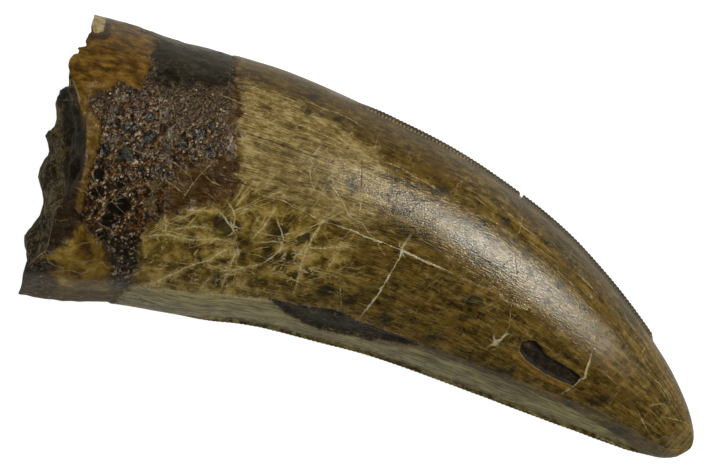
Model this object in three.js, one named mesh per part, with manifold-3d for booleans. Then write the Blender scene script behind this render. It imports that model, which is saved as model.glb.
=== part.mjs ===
// A fossil tyrannosaur tooth lying on its side, one solid. Millimetres, +Z up.
// +X runs from the broken base to the tip and +Y towards the convex front edge.
// The origin is under the middle of the tooth, on the surface that it lies on.
import * as THREE from "three";
import Module from "manifold-3d";
import { mergeVertices } from "three/addons/utils/BufferGeometryUtils.js";

const wasm = await Module();
wasm.setup();

// Driving dimensions
const TIP_X = 45.3; // half the length of the tooth
const TIP_Y = -2.8;
const TIP_Z = 6.6;
const TIP_WIDTH_RADIUS = 2.2; // roundness of the worn tip seen from above
const TIP_DEPTH_RADIUS = 1.6; // and seen from the side
const SHOULDER_SHIFT = 0.07; // how far the thickest line lies towards the front edge, as a share of the half width
const FLANK_WIDTH = 2.7; // the flattened flank along the back edge, up to a faint crease
const FLANK_FLATNESS = 0.7;

// Stations along the tooth: x, front edge y, back edge y, upper side z, lower side z, without the keels.
// Up to x = 4 the lower side dips under the surface that the tooth lies on, where it is worn flat.
const STATIONS = [
  [-47, 15.9, -21.4, 25.1, -0.55],
  [-40, 17.0, -19.9, 24.6, -0.55],
  [-34, 17.5, -18.35, 24.1, -0.55],
  [-28, 18.45, -15.95, 23.6, -0.55],
  [-20, 19.4, -13.9, 22.9, -0.55],
  [-12, 19.55, -11.2, 22.1, -0.5],
  [-4, 19.25, -9.7, 21.1, -0.4],
  [4, 18.55, -8.4, 19.9, -0.3],
  [12, 17.1, -7.75, 18.6, 0.1],
  [20, 14.95, -7.3, 17.0, 0.5],
  [27, 11.95, -6.9, 15.4, 1.0],
  [33, 8.8, -6.45, 13.7, 1.8],
  [38, 5.55, -6.1, 11.9, 2.7],
  [42, 2.2, -5.85, 10.0, 3.8],
];

// Carinas: the two cutting edges, low keels cut into denticles. A keel rises out of the smooth edge at
// from, over the length rise, and dies away at to, over the length fall.
const CARINAS = {
  front: { from: -8, rise: 3, to: 35.6, fall: 0.7, height: 0.5, pitch: 0.5, notch: 0.22 },
  back: { from: -18, rise: 3, to: 41.5, fall: 4, height: 0.5, pitch: 0.58, notch: 0.22 },
};
const KEEL_HALF_ANGLE = THREE.MathUtils.degToRad(3.5);
const NICK = { x: 13, half: 0.3, depth: 0.55 }; // one denticle of the front edge is knocked out
// Towards the base the front keel leaves the edge and turns up on the near side, by this angle.
const KEEL_DRIFT = { angle: THREE.MathUtils.degToRad(11), until: 12 };

// The broken base: x of its rim against place across the tooth, from -1 at the back edge to 1 at the front edge.
const NEAR_RIM = [
  [-1, -39.1],
  [-0.77, -39.5],
  [-0.63, -38.5],
  [-0.44, -39.0],
  [-0.17, -37.4],
  [0.09, -38.4],
  [0.25, -40.7],
  [0.37, -42.2],
  [0.46, -43.5],
  [0.52, -44.8],
  [0.6, -45.2],
  [0.66, -44.6],
  [0.71, -45.0],
  [0.76, -44.1],
  [0.86, -44.3],
  [1, -44.9],
];
const FAR_RIM = [
  [-1, -39.1],
  [-0.77, -39.9],
  [-0.66, -41.7],
  [-0.54, -40.9],
  [-0.4, -41.3],
  [-0.22, -43.4],
  [-0.02, -43.3],
  [0.06, -44.3],
  [0.2, -44.1],
  [0.27, -45.0],
  [0.38, -44.6],
  [0.45, -43.4],
  [0.6, -43.0],
  [0.84, -43.4],
  [1, -44.9],
];
// How the break runs from the far rim, 0, up to the near rim, 1: a ledge half way up.
const BREAK_PROFILE = [
  [0, 0],
  [0.3, 0.1],
  [0.46, 0.42],
  [0.6, 0.5],
  [0.8, 0.82],
  [1, 1],
];
const PULP_DEPTH = 2.2; // the hollow that the pulp left
const PULP_REACH = 0.62; // its half width, as a share of the section's
const BREAK_ROUGHNESS = 0.35;

// Worn tip: two flat facets, each through a point and square to a direction.
const WEAR_FACETS = [
  { through: new THREE.Vector3(43.5, -3, 8.4), facing: new THREE.Vector3(0.66, -0.24, 0.71).normalize() },
  { through: new THREE.Vector3(44.6, -4, 7), facing: new THREE.Vector3(0.8, -0.56, 0.2).normalize() },
];

// Scars where the surface layer has flaked off: x, the place across the section from -1 to 1, the depth, and
// the outline in the surface, as millimetres towards the tip and millimetres towards the front edge.
const SCARS = {
  pit: {
    x: 24.6, across: -0.4, depth: 0.5,
    outline: [[-4.4, 0.6], [-4.1, -0.5], [-2.8, -1.1], [0, -1.4], [2.8, -1.3], [4, -1],
      [4.3, 0.25], [3, 0.65], [0.15, 0.75], [-1.8, 1.25], [-2.8, 1.7]],
  },
  edgeScar: {
    x: -1.3, across: -0.82, depth: 0.55,
    outline: [[-8.6, 0.7], [-7.4, -0.55], [-5.7, -1.4], [-4.2, -2.05], [-1.2, -2.25], [2.1, -1.75],
      [4, -1.8], [7.5, -0.85], [10.2, -0.4], [6.6, 0.6], [2.1, 1.05], [-0.2, 2], [-2, 1.8], [-5.3, 1]],
  },
};
const CUT_HEIGHT = 4;

// Fineness of the faceted solid
const ROWS = 50;
const COLUMNS = 64;
const CAP_RINGS = 7;
const CROWDING = 0.12; // how much closer the columns stand near the two edges

// A smooth curve through points in order of x: cubic pieces, each point's slope taken from its neighbours.
function smooth(xs, ys) {
  const last = xs.length - 1;
  const slope = xs.map((_, i) => {
    const a = Math.max(i - 1, 0);
    const b = Math.min(i + 1, last);
    return (ys[b] - ys[a]) / (xs[b] - xs[a]);
  });
  return (x) => {
    let i = 0;
    while (i < last - 1 && x > xs[i + 1]) i++;
    const gap = xs[i + 1] - xs[i];
    const t = THREE.MathUtils.clamp((x - xs[i]) / gap, 0, 1);
    const s = 1 - t;
    return (
      s * s * (1 + 2 * t) * ys[i] +
      t * t * (1 + 2 * s) * ys[i + 1] +
      gap * t * s * (s * slope[i] - t * slope[i + 1])
    );
  };
}
const curveOf = (points) => smooth(points.map((p) => p[0]), points.map((p) => p[1]));

// The crown closes at the tip like a parabola: each half size is a slowly changing factor
// times the square root of the distance left to the tip.
const xs = STATIONS.map((s) => s[0]);
const left = (x) => Math.sqrt(Math.max(TIP_X - x, 0));
const factorCurve = (a, b, tipRadius) =>
  smooth(
    [...xs, TIP_X],
    [...STATIONS.map((s) => (s[a] - s[b]) / 2 / left(s[0])), Math.sqrt(2 * tipRadius)],
  );
const middleCurve = (a, b, tip) =>
  smooth([...xs, TIP_X], [...STATIONS.map((s) => (s[a] + s[b]) / 2), tip]);
const widthFactor = factorCurve(1, 2, TIP_WIDTH_RADIUS);
const depthFactor = factorCurve(3, 4, TIP_DEPTH_RADIUS);
const middleY = middleCurve(1, 2, TIP_Y);
const middleZ = middleCurve(3, 4, TIP_Z);
const halfWidth = (x) => widthFactor(x) * left(x);
const halfDepth = (x) => depthFactor(x) * left(x);

const rise = (x, from, over) => THREE.MathUtils.smoothstep(x, from, from + over);
const keelHeight = ({ from, rise: up, to, fall, height }, x) =>
  height * rise(x, from, up) * (1 - rise(x, to - fall, fall));

// The place round the section of a line that runs along the tooth at a fixed turn from the front keel.
function sectionAngle(x, turn) {
  const drift = KEEL_DRIFT.angle * (1 - rise(x, CARINAS.front.from, KEEL_DRIFT.until - CARINAS.front.from));
  return turn + (drift * (1 + Math.cos(turn))) / 2;
}

// A point of the outer surface. turn is 0 on the front keel, a quarter turn on top and half a turn on the back
// keel. notch is how far a gap between two denticles cuts into the keel there.
function surfacePoint(x, turn, notch = 0) {
  const angle = sectionAngle(x, turn);
  const across = Math.cos(angle);
  const width = halfWidth(x);
  // the flattened flank: from the back edge up to the crease the section runs nearly straight
  let up = Math.sin(angle);
  const reach = Math.min(FLANK_WIDTH / width, 0.35);
  if (1 + across < reach) {
    const straight = (Math.sign(up) * Math.sqrt(1 - (1 - reach) ** 2) * (1 + across)) / reach;
    up = THREE.MathUtils.lerp(up, straight, FLANK_FLATNESS);
  }
  const point = new THREE.Vector3(
    x,
    middleY(x) + width * (across + SHOULDER_SHIFT * up * up),
    middleZ(x) + halfDepth(x) * up,
  );
  const front = Math.cos(turn) > 0;
  const fromKeel = Math.asin(Math.abs(Math.sin(turn))) / KEEL_HALF_ANGLE;
  const keel = keelHeight(front ? CARINAS.front : CARINAS.back, x) * Math.exp(-(fromKeel ** 2)) - notch;
  point.y += keel * Math.cos(angle);
  point.z += keel * Math.sin(angle);
  point.z = Math.max(point.z, 0);
  for (const { through, facing } of WEAR_FACETS) {
    const over = point.clone().sub(through).dot(facing);
    if (over > 0) point.addScaledVector(facing, -over);
  }
  return point;
}

const nearRim = curveOf(NEAR_RIM);
const farRim = curveOf(FAR_RIM);
const breakProfile = curveOf(BREAK_PROFILE);

// x of the broken face at a place across and up the section, each from -1 to 1.
function breakX(across, up) {
  const full = Math.sqrt(Math.max(1 - across * across, 1e-6));
  const height = THREE.MathUtils.clamp((1 + up / full) / 2, 0, 1);
  const near = nearRim(across);
  const far = farRim(across);
  const radius = Math.min(Math.hypot(across, up), 1);
  const hollow = PULP_DEPTH * (1 - rise(radius, PULP_REACH - 0.3, 0.3));
  const lumps =
    Math.sin(9 * across + 5 * up) * Math.sin(11 * up - 4 * across) +
    0.6 * Math.sin(21 * across - 13 * up + 1);
  return far + (near - far) * breakProfile(height) + hollow + BREAK_ROUGHNESS * lumps * (1 - radius ** 6);
}

// Each column's turn from the front keel, closer together near the two edges, and its angle at the break.
const columnTurn = (j) => {
  const even = (2 * Math.PI * j) / COLUMNS;
  return even - CROWDING * Math.sin(2 * even);
};
const rimAngle = (j) => sectionAngle(STATIONS[0][0], columnTurn(j));
const rimX = (j) => (Math.sin(rimAngle(j)) >= 0 ? nearRim : farRim)(Math.cos(rimAngle(j)));

// The denticles' gaps and crests along a carina: [x, depth of the gap there]. The edge leans across the
// tooth, so an even step along it is a shorter step in x.
function denticleSteps(carina, side) {
  const edge = (x) => middleY(x) + side * halfWidth(x);
  const steps = [];
  let x = carina.from + carina.rise / 2;
  while (x < carina.to - carina.fall / 2) {
    const nicked = side > 0 && Math.abs(x - NICK.x) < NICK.half;
    steps.push([x, nicked ? NICK.depth : steps.length % 2 ? 0 : carina.notch]);
    const lean = (edge(x + 0.1) - edge(x - 0.1)) / 0.2;
    x += carina.pitch / 2 / Math.hypot(1, lean);
  }
  return steps;
}

// The stations of one column, from its rim to just short of the tip: [x, gap depth].
function columnSteps(j) {
  const start = rimX(j);
  const rows = [];
  for (let i = 0; i < ROWS; i++) {
    rows.push([start + (TIP_X - start) * (1 - (1 - i / ROWS) ** 1.5), 0]);
  }
  if (j !== 0 && j !== COLUMNS / 2) return rows;
  const teeth = j === 0 ? denticleSteps(CARINAS.front, 1) : denticleSteps(CARINAS.back, -1);
  const first = teeth[0][0];
  const final = teeth[teeth.length - 1][0];
  return [
    ...rows.filter((r) => r[0] < first - 0.1),
    ...teeth,
    ...rows.filter((r) => r[0] > final + 0.1),
  ];
}

function toothBody() {
  const points = [];
  const faces = [];
  const add = (p) => points.push(p) - 1;

  const columns = [];
  for (let j = 0; j < COLUMNS; j++) {
    const turn = columnTurn(j);
    columns.push(columnSteps(j).map(([x, notch]) => ({ x, at: add(surfacePoint(x, turn, notch)) })));
  }
  // Side faces between neighbouring columns: the column whose next point is nearer the base moves on first.
  const tip = add(surfacePoint(TIP_X, 0));
  for (let j = 0; j < COLUMNS; j++) {
    const a = columns[j];
    const b = columns[(j + 1) % COLUMNS];
    let i = 0;
    let k = 0;
    while (i < a.length - 1 || k < b.length - 1) {
      const moveA = k === b.length - 1 || (i < a.length - 1 && a[i + 1].x <= b[k + 1].x);
      if (moveA) {
        faces.push([a[i].at, b[k].at, a[i + 1].at]);
        i++;
      } else {
        faces.push([a[i].at, b[k].at, b[k + 1].at]);
        k++;
      }
    }
    faces.push([a[i].at, b[k].at, tip]);
  }
  // The broken face: rings that shrink from the rim to the middle of the base.
  const rim = columns.map((c) => points[c[0].at]);
  const middle = new THREE.Vector3();
  rim.forEach((p) => middle.addScaledVector(p, 1 / COLUMNS));
  let outer = columns.map((c) => c[0].at);
  for (let ring = 1; ring < CAP_RINGS; ring++) {
    const share = 1 - ring / CAP_RINGS;
    const inner = rim.map((p, j) => {
      const angle = rimAngle(j);
      const at = middle.clone().lerp(p, share);
      at.x = breakX(share * Math.cos(angle), share * Math.sin(angle));
      return add(at);
    });
    for (let j = 0; j < COLUMNS; j++) {
      const k = (j + 1) % COLUMNS;
      faces.push([outer[j], inner[j], outer[k]], [outer[k], inner[j], inner[k]]);
    }
    outer = inner;
  }
  const centre = add(new THREE.Vector3(breakX(0, 0), middle.y, middle.z));
  for (let j = 0; j < COLUMNS; j++) {
    faces.push([outer[j], centre, outer[(j + 1) % COLUMNS]]);
  }

  const geometry = new THREE.BufferGeometry().setFromPoints(points);
  geometry.setIndex(faces.flat());
  return geometry;
}

// A flat-bottomed cutter that stands on the surface at a place of the tooth and reaches down to the scar's depth.
function scarCutter({ x, across, depth, outline }) {
  const shape = new THREE.Shape(outline.map(([along, over]) => new THREE.Vector2(along, over)));
  const geometry = new THREE.ExtrudeGeometry(shape, { depth: CUT_HEIGHT, bevelEnabled: false });
  const angle = Math.acos(across);
  const at = surfacePoint(x, angle);
  const along = surfacePoint(x + 0.5, angle).sub(surfacePoint(x - 0.5, angle)).normalize();
  const over = surfacePoint(x, angle - 0.02).sub(surfacePoint(x, angle + 0.02));
  const out = along.clone().cross(over).normalize();
  over.crossVectors(out, along);
  at.addScaledVector(out, -depth);
  geometry.applyMatrix4(new THREE.Matrix4().makeBasis(along, over, out).setPosition(at));
  return geometry;
}

// A closed three.js geometry as a solid, and back.
function solidOf(geometry) {
  const bare = geometry.clone().deleteAttribute("normal").deleteAttribute("uv");
  const merged = mergeVertices(bare, 1e-4);
  const mesh = new wasm.Mesh({
    numProp: 3,
    vertProperties: merged.attributes.position.array,
    triVerts: new Uint32Array(merged.index.array),
  });
  return new wasm.Manifold(mesh);
}
function geometryOf(solid) {
  const mesh = solid.getMesh();
  return new THREE.BufferGeometry()
    .setAttribute("position", new THREE.BufferAttribute(mesh.vertProperties, 3))
    .setIndex(new THREE.BufferAttribute(mesh.triVerts, 1));
}

let solid = solidOf(toothBody());
for (const scar of Object.values(SCARS)) {
  solid = solid.subtract(solidOf(scarCutter(scar)));
}

const enamel = new THREE.MeshStandardMaterial({ color: 0x6b5426, roughness: 0.4, metalness: 0 });
const tooth = new THREE.Mesh(geometryOf(solid), enamel);
tooth.name = "tooth";
const part = new THREE.Group();
part.add(tooth);
export default part;
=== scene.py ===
"""A fossil tyrannosaur tooth that lies on its side on a pale surface, seen from above.

The frame is the CAD's: +X from the broken base to the tip, +Y towards the convex front edge, +Z up.
Shapes are worked out in millimetres and go into the mesh in metres.
"""
import itertools
import math

import bpy
import numpy as np
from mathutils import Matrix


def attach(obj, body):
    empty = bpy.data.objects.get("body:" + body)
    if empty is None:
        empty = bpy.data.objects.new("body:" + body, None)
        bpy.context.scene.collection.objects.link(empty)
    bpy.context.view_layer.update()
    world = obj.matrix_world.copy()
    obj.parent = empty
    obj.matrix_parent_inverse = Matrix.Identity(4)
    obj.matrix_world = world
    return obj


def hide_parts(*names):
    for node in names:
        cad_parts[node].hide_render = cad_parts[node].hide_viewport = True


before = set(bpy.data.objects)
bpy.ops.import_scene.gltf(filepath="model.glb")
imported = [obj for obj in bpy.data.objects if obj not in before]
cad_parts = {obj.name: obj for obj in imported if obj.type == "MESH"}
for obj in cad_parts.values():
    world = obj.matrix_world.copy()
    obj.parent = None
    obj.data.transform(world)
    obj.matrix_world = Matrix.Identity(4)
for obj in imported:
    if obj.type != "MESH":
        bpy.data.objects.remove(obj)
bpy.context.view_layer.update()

# The crown
# One natural piece: a thick, curved cone of dentine under a skin of enamel, now mineralised and polished.
# It lies on its side, so its two cutting edges stand out to the front (+Y) and to the back (-Y).
MM = 0.001
TIP_X = 45.3
TIP_Y = -2.8
TIP_Z = 6.6
TIP_WIDTH_RADIUS = 2.2
TIP_DEPTH_RADIUS = 1.6
SHOULDER_SHIFT = 0.07
FLANK_WIDTH = 2.7
FLANK_FLATNESS = 0.7
FLANK_MOST = 0.35  # the flank takes up no more than this share of the half width

# Stations along the tooth: x, front edge y, back edge y, upper side z, lower side z, without the keels.
STATIONS = np.array([
    [-47, 15.9, -21.4, 25.1, -0.55],
    [-40, 17.0, -19.9, 24.6, -0.55],
    [-34, 17.5, -18.35, 24.1, -0.55],
    [-28, 18.45, -15.95, 23.6, -0.55],
    [-20, 19.4, -13.9, 22.9, -0.55],
    [-12, 19.55, -11.2, 22.1, -0.5],
    [-4, 19.25, -9.7, 21.1, -0.4],
    [4, 18.55, -8.4, 19.9, -0.3],
    [12, 17.1, -7.75, 18.6, 0.1],
    [20, 14.95, -7.3, 17.0, 0.5],
    [27, 11.95, -6.9, 15.4, 1.0],
    [33, 8.8, -6.45, 13.7, 1.8],
    [38, 5.55, -6.1, 11.9, 2.7],
    [42, 2.2, -5.85, 10.0, 3.8],
])


def smooth_curve(places, values):
    """The smooth curve through points: cubic pieces between neighbours, where the slope at a point is
    the slope of the line between its two neighbours."""
    places = np.asarray(places, float)
    values = np.asarray(values, float)
    low = np.maximum(np.arange(len(places)) - 1, 0)
    high = np.minimum(np.arange(len(places)) + 1, len(places) - 1)
    slope = (values[high] - values[low]) / (places[high] - places[low])

    def at(x):
        i = np.clip(np.searchsorted(places, x) - 1, 0, len(places) - 2)
        gap = places[i + 1] - places[i]
        t = np.clip((x - places[i]) / gap, 0, 1)
        s = 1 - t
        ends = s * s * (1 + 2 * t) * values[i] + t * t * (1 + 2 * s) * values[i + 1]
        return ends + gap * t * s * (s * slope[i] - t * slope[i + 1])

    return at


def smooth_step(x, start, over):
    """0 before start, 1 past start + over, and 3t^2 - 2t^3 between them."""
    t = np.clip((x - start) / over, 0, 1)
    return t * t * (3 - 2 * t)


def left_to_tip(x):
    """The square root of the distance left to the tip, along which the crown closes like a parabola."""
    return np.sqrt(np.maximum(TIP_X - x, 0))


station_x = np.append(STATIONS[:, 0], TIP_X)
station_left = left_to_tip(STATIONS[:, 0])
front_y, back_y, upper_z, lower_z = STATIONS[:, 1:].T
width_share = np.append((front_y - back_y) / 2 / station_left, (2 * TIP_WIDTH_RADIUS) ** 0.5)
depth_share = np.append((upper_z - lower_z) / 2 / station_left, (2 * TIP_DEPTH_RADIUS) ** 0.5)
width_factor = smooth_curve(station_x, width_share)
depth_factor = smooth_curve(station_x, depth_share)
middle_y = smooth_curve(station_x, np.append((front_y + back_y) / 2, TIP_Y))
middle_z = smooth_curve(station_x, np.append((upper_z + lower_z) / 2, TIP_Z))

# The worn tip: two flat facets, each a point on it and the direction that it faces.
WEAR_FACETS = [
    ((43.5, -3, 8.4), (0.66, -0.24, 0.71)),
    ((44.6, -4, 7), (0.8, -0.56, 0.2)),
]

# The cutting edges
# Two keels of enamel along the front and the back edge, cut by narrow gaps into a row of denticles.
# Towards the base the front keel leaves the edge and turns up on the near side.
CARINAS = {
    "front": {
        "side": 1, "start": -13, "rise": 7, "end": 35.6, "fall": 0.7, "pitch": 0.5, "gap": 0.1, "dark": 1,
    },
    "back": {
        "side": -1, "start": -21, "rise": 6, "end": 41.5, "fall": 4, "pitch": 0.58, "gap": 0.06, "dark": 0.2,
    },
}
KEEL_HEIGHT = 0.5
KEEL_HALF_ANGLE = math.radians(3.5)
KEEL_DRIFT = math.radians(11)
KEEL_DRIFT_START = -8
KEEL_DRIFT_LENGTH = 20
GAP_SHARPNESS = 2.5
TEETH_BEGIN = 0.55  # share of the keel's rise after which it is cut into denticles
BEAD_HIGHLIGHT_ANGLE = math.radians(3.7)  # how far over the near side the painted highlights on the front denticles show
BEAD_HIGHLIGHT_HALF_ANGLE = math.radians(1.0)
BEAD_HIGHLIGHTS_END = 9  # x where most of these painted highlights are gone, as the denticles there are worn away
BEAD_HIGHLIGHTS_FADE = 5
BEAD_HIGHLIGHTS_LOST = 0.8
EDGE_SAMPLES = 3000  # places at which the length of a cutting edge is added up
NICK = {"x": 13, "half": 0.22, "depth": 0.4}


def section_angle(x, turn):
    """Place round the section of a line at a fixed turn from the front keel: turn + drift (1 + cos turn)
    / 2, where the drift fades out from the base towards the tip."""
    drift = KEEL_DRIFT * (1 - smooth_step(x, KEEL_DRIFT_START, KEEL_DRIFT_LENGTH))
    return turn + drift * (1 + np.cos(turn)) / 2


def keel_presence(x, carina):
    """1 along a cutting edge, 0 beyond its ends."""
    begins = smooth_step(x, carina["start"], carina["rise"])
    return begins * (1 - smooth_step(x, carina["end"] - carina["fall"], carina["fall"]))


def denticle_wave(x, carina):
    """Wave along a cutting edge, 1 in the gaps and -1 on the crests: the cosine of the edge's arc length."""
    first = carina["start"] + carina["rise"] * TEETH_BEGIN
    along = np.linspace(first, TIP_X - 0.01, EDGE_SAMPLES)
    edge = middle_y(along) + carina["side"] * width_factor(along) * left_to_tip(along)
    arc = np.append(0, np.cumsum(np.hypot(np.diff(along), np.diff(edge))))
    return np.cos(2 * np.pi * np.interp(x, along, arc) / carina["pitch"])


def cutting_edges(x, turn):
    """Height of the keels, and masks of the keels, of painted shade in the gaps between denticles and of
    painted highlights on the near face of the front ones. Across a keel each falls away like a bell,
    exp(-(angle / half)^2)."""
    bell = np.exp(-(np.arcsin(np.abs(np.sin(turn))) / KEEL_HALF_ANGLE) ** 2)
    height = np.zeros_like(x * turn)
    keels = np.zeros_like(height)
    gaps = np.zeros_like(height)
    bead_highlights = np.zeros_like(height)
    for carina in CARINAS.values():
        here = bell * (np.cos(turn) * carina["side"] > 0) * keel_presence(x, carina)
        wave = denticle_wave(x, carina)
        gap = ((1 + wave) / 2) ** GAP_SHARPNESS
        gap = gap * smooth_step(x, carina["start"] + carina["rise"] * TEETH_BEGIN, 1.0)
        keels += here * carina["dark"]
        gaps += here * gap * carina["dark"]
        if carina["side"] > 0:
            bead_highlight = np.exp(-(((np.arcsin(np.sin(turn)) - BEAD_HIGHLIGHT_ANGLE) / BEAD_HIGHLIGHT_HALF_ANGLE) ** 2))
            worn = BEAD_HIGHLIGHTS_LOST * smooth_step(x, BEAD_HIGHLIGHTS_END - BEAD_HIGHLIGHTS_FADE, BEAD_HIGHLIGHTS_FADE)
            bead_highlight = bead_highlight * (np.cos(turn) > 0) * (1 - worn)
            bead_highlights += bead_highlight * keel_presence(x, carina) * ((1 - wave) / 2) ** 3
        height += here * (KEEL_HEIGHT - carina["gap"] * gap)
    nicked = (np.cos(turn) > 0) & (np.abs(x - NICK["x"]) < NICK["half"])
    return np.where(nicked, height - NICK["depth"] * bell, height), keels, gaps, bead_highlights


def crown_surface(x, turn):
    """Point of the crown's skin at x, turned from the front keel: an ellipse of half width w and half depth
    d, y = middle + w (cos a + shift sin^2 a), z = middle + d sin a, flattened near the back edge, with the
    keels on it, cut off flat where it lies on the surface and ground flat at the worn tip."""
    angle = section_angle(x, turn)
    across = np.cos(angle)
    half_width = width_factor(x) * left_to_tip(x)
    reach = np.minimum(FLANK_WIDTH / np.maximum(half_width, 1e-6), FLANK_MOST)
    round_up = np.sin(angle)
    straight_up = np.sign(round_up) * np.sqrt(1 - (1 - reach) ** 2) * (1 + across) / reach
    flat = np.where(1 + across < reach, FLANK_FLATNESS, 0)
    up = round_up + flat * (straight_up - round_up)
    keel = cutting_edges(x, turn)[0]
    y = middle_y(x) + half_width * (across + SHOULDER_SHIFT * up**2) + keel * across
    z = middle_z(x) + depth_factor(x) * left_to_tip(x) * up + keel * np.sin(angle)
    points = np.stack(np.broadcast_arrays(x, y, np.maximum(z, 0)), axis=-1)
    for through, facing in WEAR_FACETS:
        facing = np.array(facing) / np.linalg.norm(facing)
        over = np.maximum((points - through) @ facing, 0)
        points = points - over[..., None] * facing
    return points


# The broken base
# The tooth snapped off across its root. The rim is jagged, and the face of the break is dark, lumpy
# mineral with a ledge half way up and a shallow hollow where the pulp was.
# Rim: place across the tooth, from -1 at the back edge to 1 at the front edge, and x there.
NEAR_RIM = smooth_curve(*np.array([
    [-1, -39.4], [-0.8, -39.5], [-0.69, -38.4], [-0.59, -38.6], [-0.46, -39.2], [-0.4, -39.1],
    [-0.33, -38.4], [-0.23, -37.95], [-0.12, -38.1], [-0.02, -38.8], [0.08, -39.3], [0.18, -40.1],
    [0.24, -41.0], [0.32, -42.0], [0.39, -42.8], [0.44, -43.5], [0.49, -44.15], [0.55, -44.9],
    [0.61, -45.15], [0.648, -45.1], [0.664, -44.75], [0.675, -44.35], [0.69, -44.6], [0.712, -44.95],
    [0.722, -44.4], [0.731, -43.95], [0.77, -44.35], [0.81, -44.45], [0.84, -44.5], [0.862, -44.15],
    [0.89, -44.5], [0.93, -44.7], [1, -44.9],
]).T)
FAR_RIM = smooth_curve(*np.array([
    [-1, -39.1], [-0.77, -39.9], [-0.66, -41.7], [-0.54, -40.9], [-0.4, -41.3], [-0.22, -43.4],
    [-0.02, -43.3], [0.06, -44.3], [0.2, -44.1], [0.27, -45.0], [0.38, -44.6], [0.45, -43.4],
    [0.6, -43.0], [0.84, -43.4], [1, -44.9],
]).T)
# How the break runs from the far rim, 0, up to the near rim, 1.
BREAK_PROFILE = smooth_curve(*np.array([
    [0, 0], [0.25, 0.08], [0.38, 0.3], [0.5, 0.36], [0.62, 0.4], [0.74, 0.62], [0.86, 0.86], [1, 1],
]).T)
PULP_DEPTH = 2.2
PULP_REACH = 0.62
BREAK_ROUGHNESS = 0.35
BREAK_GRIT = [(3.0, 0.6), (1.2, 0.4), (0.55, 0.2)]  # size and height of the finer lumps of the break
RIM_GRIT = [(1.6, 0.16), (0.6, 0.08)]
LUMP_CELLS = 32  # after so many cubes the noise repeats


def lumps(points, size, seed):
    """Smooth noise from -1 to 1: random values at the corners of cubes of that size, blended between."""
    table = np.random.default_rng(seed).uniform(-1, 1, (LUMP_CELLS, LUMP_CELLS, LUMP_CELLS))
    cell = np.floor(points / size).astype(int)
    part = points / size - cell
    part = part * part * (3 - 2 * part)
    total = np.zeros(points.shape[:-1])
    for corner in itertools.product((0, 1), repeat=3):
        share = np.prod(np.where(np.array(corner) == 1, part, 1 - part), axis=-1)
        at = (cell + corner) % LUMP_CELLS
        total += share * table[at[..., 0], at[..., 1], at[..., 2]]
    return total


def gritty(points, layers, seed):
    """Several sizes of lumps on top of each other."""
    return sum(height * lumps(points, size, seed + i) for i, (size, height) in enumerate(layers))


def break_x(across, up):
    """x of the broken face at a place across and up the section, each from -1 to 1: from the far rim to the
    near rim along the break's profile, plus the pulp hollow and waves, both gone at the rim."""
    full = np.sqrt(np.maximum(1 - across**2, 1e-6))
    height = np.clip((1 + up / full) / 2, 0, 1)
    radius = np.minimum(np.hypot(across, up), 1)
    hollow = PULP_DEPTH * (1 - smooth_step(radius, PULP_REACH - 0.3, 0.3))
    waves = np.sin(9 * across + 5 * up) * np.sin(11 * up - 4 * across)
    waves = waves + 0.6 * np.sin(21 * across - 13 * up + 1)
    face = FAR_RIM(across) + (NEAR_RIM(across) - FAR_RIM(across)) * BREAK_PROFILE(height)
    return face + hollow + BREAK_ROUGHNESS * waves * (1 - radius**6)


# The view from above
# The marks on the upper side are placed as they are seen from straight above, in a picture of 708 by 472
# pixels of 0.125 mm, turned 24 degrees.
PICTURE_TURN = math.radians(24)
PICTURE_MM = 0.125
PICTURE_ORIGIN = (370.74, 278.42)  # the pixel over the frame's origin
PICTURE_MIDDLE = (354, 236)


def seen_from_above(points):
    """Pixel across and pixel down of points in millimetres: a turn, a scale and a shift."""
    x, y = points[..., 0] / PICTURE_MM, points[..., 1] / PICTURE_MM
    across = PICTURE_ORIGIN[0] + x * math.cos(PICTURE_TURN) + y * math.sin(PICTURE_TURN)
    down = PICTURE_ORIGIN[1] + x * math.sin(PICTURE_TURN) - y * math.cos(PICTURE_TURN)
    return across, down


def inside_depth(seen, outline):
    """How far inside an outline a place is, in millimetres, and below 0 outside it: the distance to the
    nearest side, signed by how many sides a line drawn to the right crosses."""
    across, down = seen
    nearest = np.full(across.shape, np.inf)
    inside = np.zeros(across.shape, bool)
    corners = np.asarray(outline, float)
    for (ax, ay), (bx, by) in zip(corners, np.roll(corners, -1, axis=0)):
        run = ((across - ax) * (bx - ax) + (down - ay) * (by - ay)) / ((bx - ax) ** 2 + (by - ay) ** 2)
        run = np.clip(run, 0, 1)
        nearest = np.minimum(nearest, np.hypot(across - ax - run * (bx - ax), down - ay - run * (by - ay)))
        slant = (bx - ax) / (by - ay if by != ay else 1e-9)
        inside ^= ((ay > down) != (by > down)) & (across < ax + (down - ay) * slant)
    return np.where(inside, nearest, -nearest) * PICTURE_MM


# The flake scars
# Two places on the near side where the enamel has flaked off down to dark dentine: a deep pit near the
# tip with a bevelled lower lip, and a long scar above the flattened flank.
PIT = [
    (521, 342), (528, 340), (536, 341), (541, 347.5), (545, 354), (553, 359), (572, 370), (578.5, 375),
    (580, 378), (573.5, 386), (554, 378), (543.5, 372.5), (525.5, 359.5), (519, 351),
]
PIT_LIP = [
    (511, 352), (519, 351), (525.5, 359.5), (543.5, 372.5), (554, 378), (573.5, 386), (573, 390),
    (556, 385), (540, 378), (524, 367), (513, 359),
]
EDGE_SCAR = [
    (270, 299.5), (281.7, 301), (301, 306), (327, 308.7), (341, 311.5), (357.6, 321), (377, 327.7),
    (392, 333), (412, 340.7), (420, 345.5), (409.7, 344.5), (396.7, 342), (382.6, 339.7), (368.5, 339.7),
    (354.4, 335.3), (336, 333), (319.7, 328.8), (303.4, 323.4), (293.6, 317), (281.7, 309.3),
]
PIT_DEPTH = 0.5
LIP_DEPTH = 0.16
SCAR_DEPTH = 0.5

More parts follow.
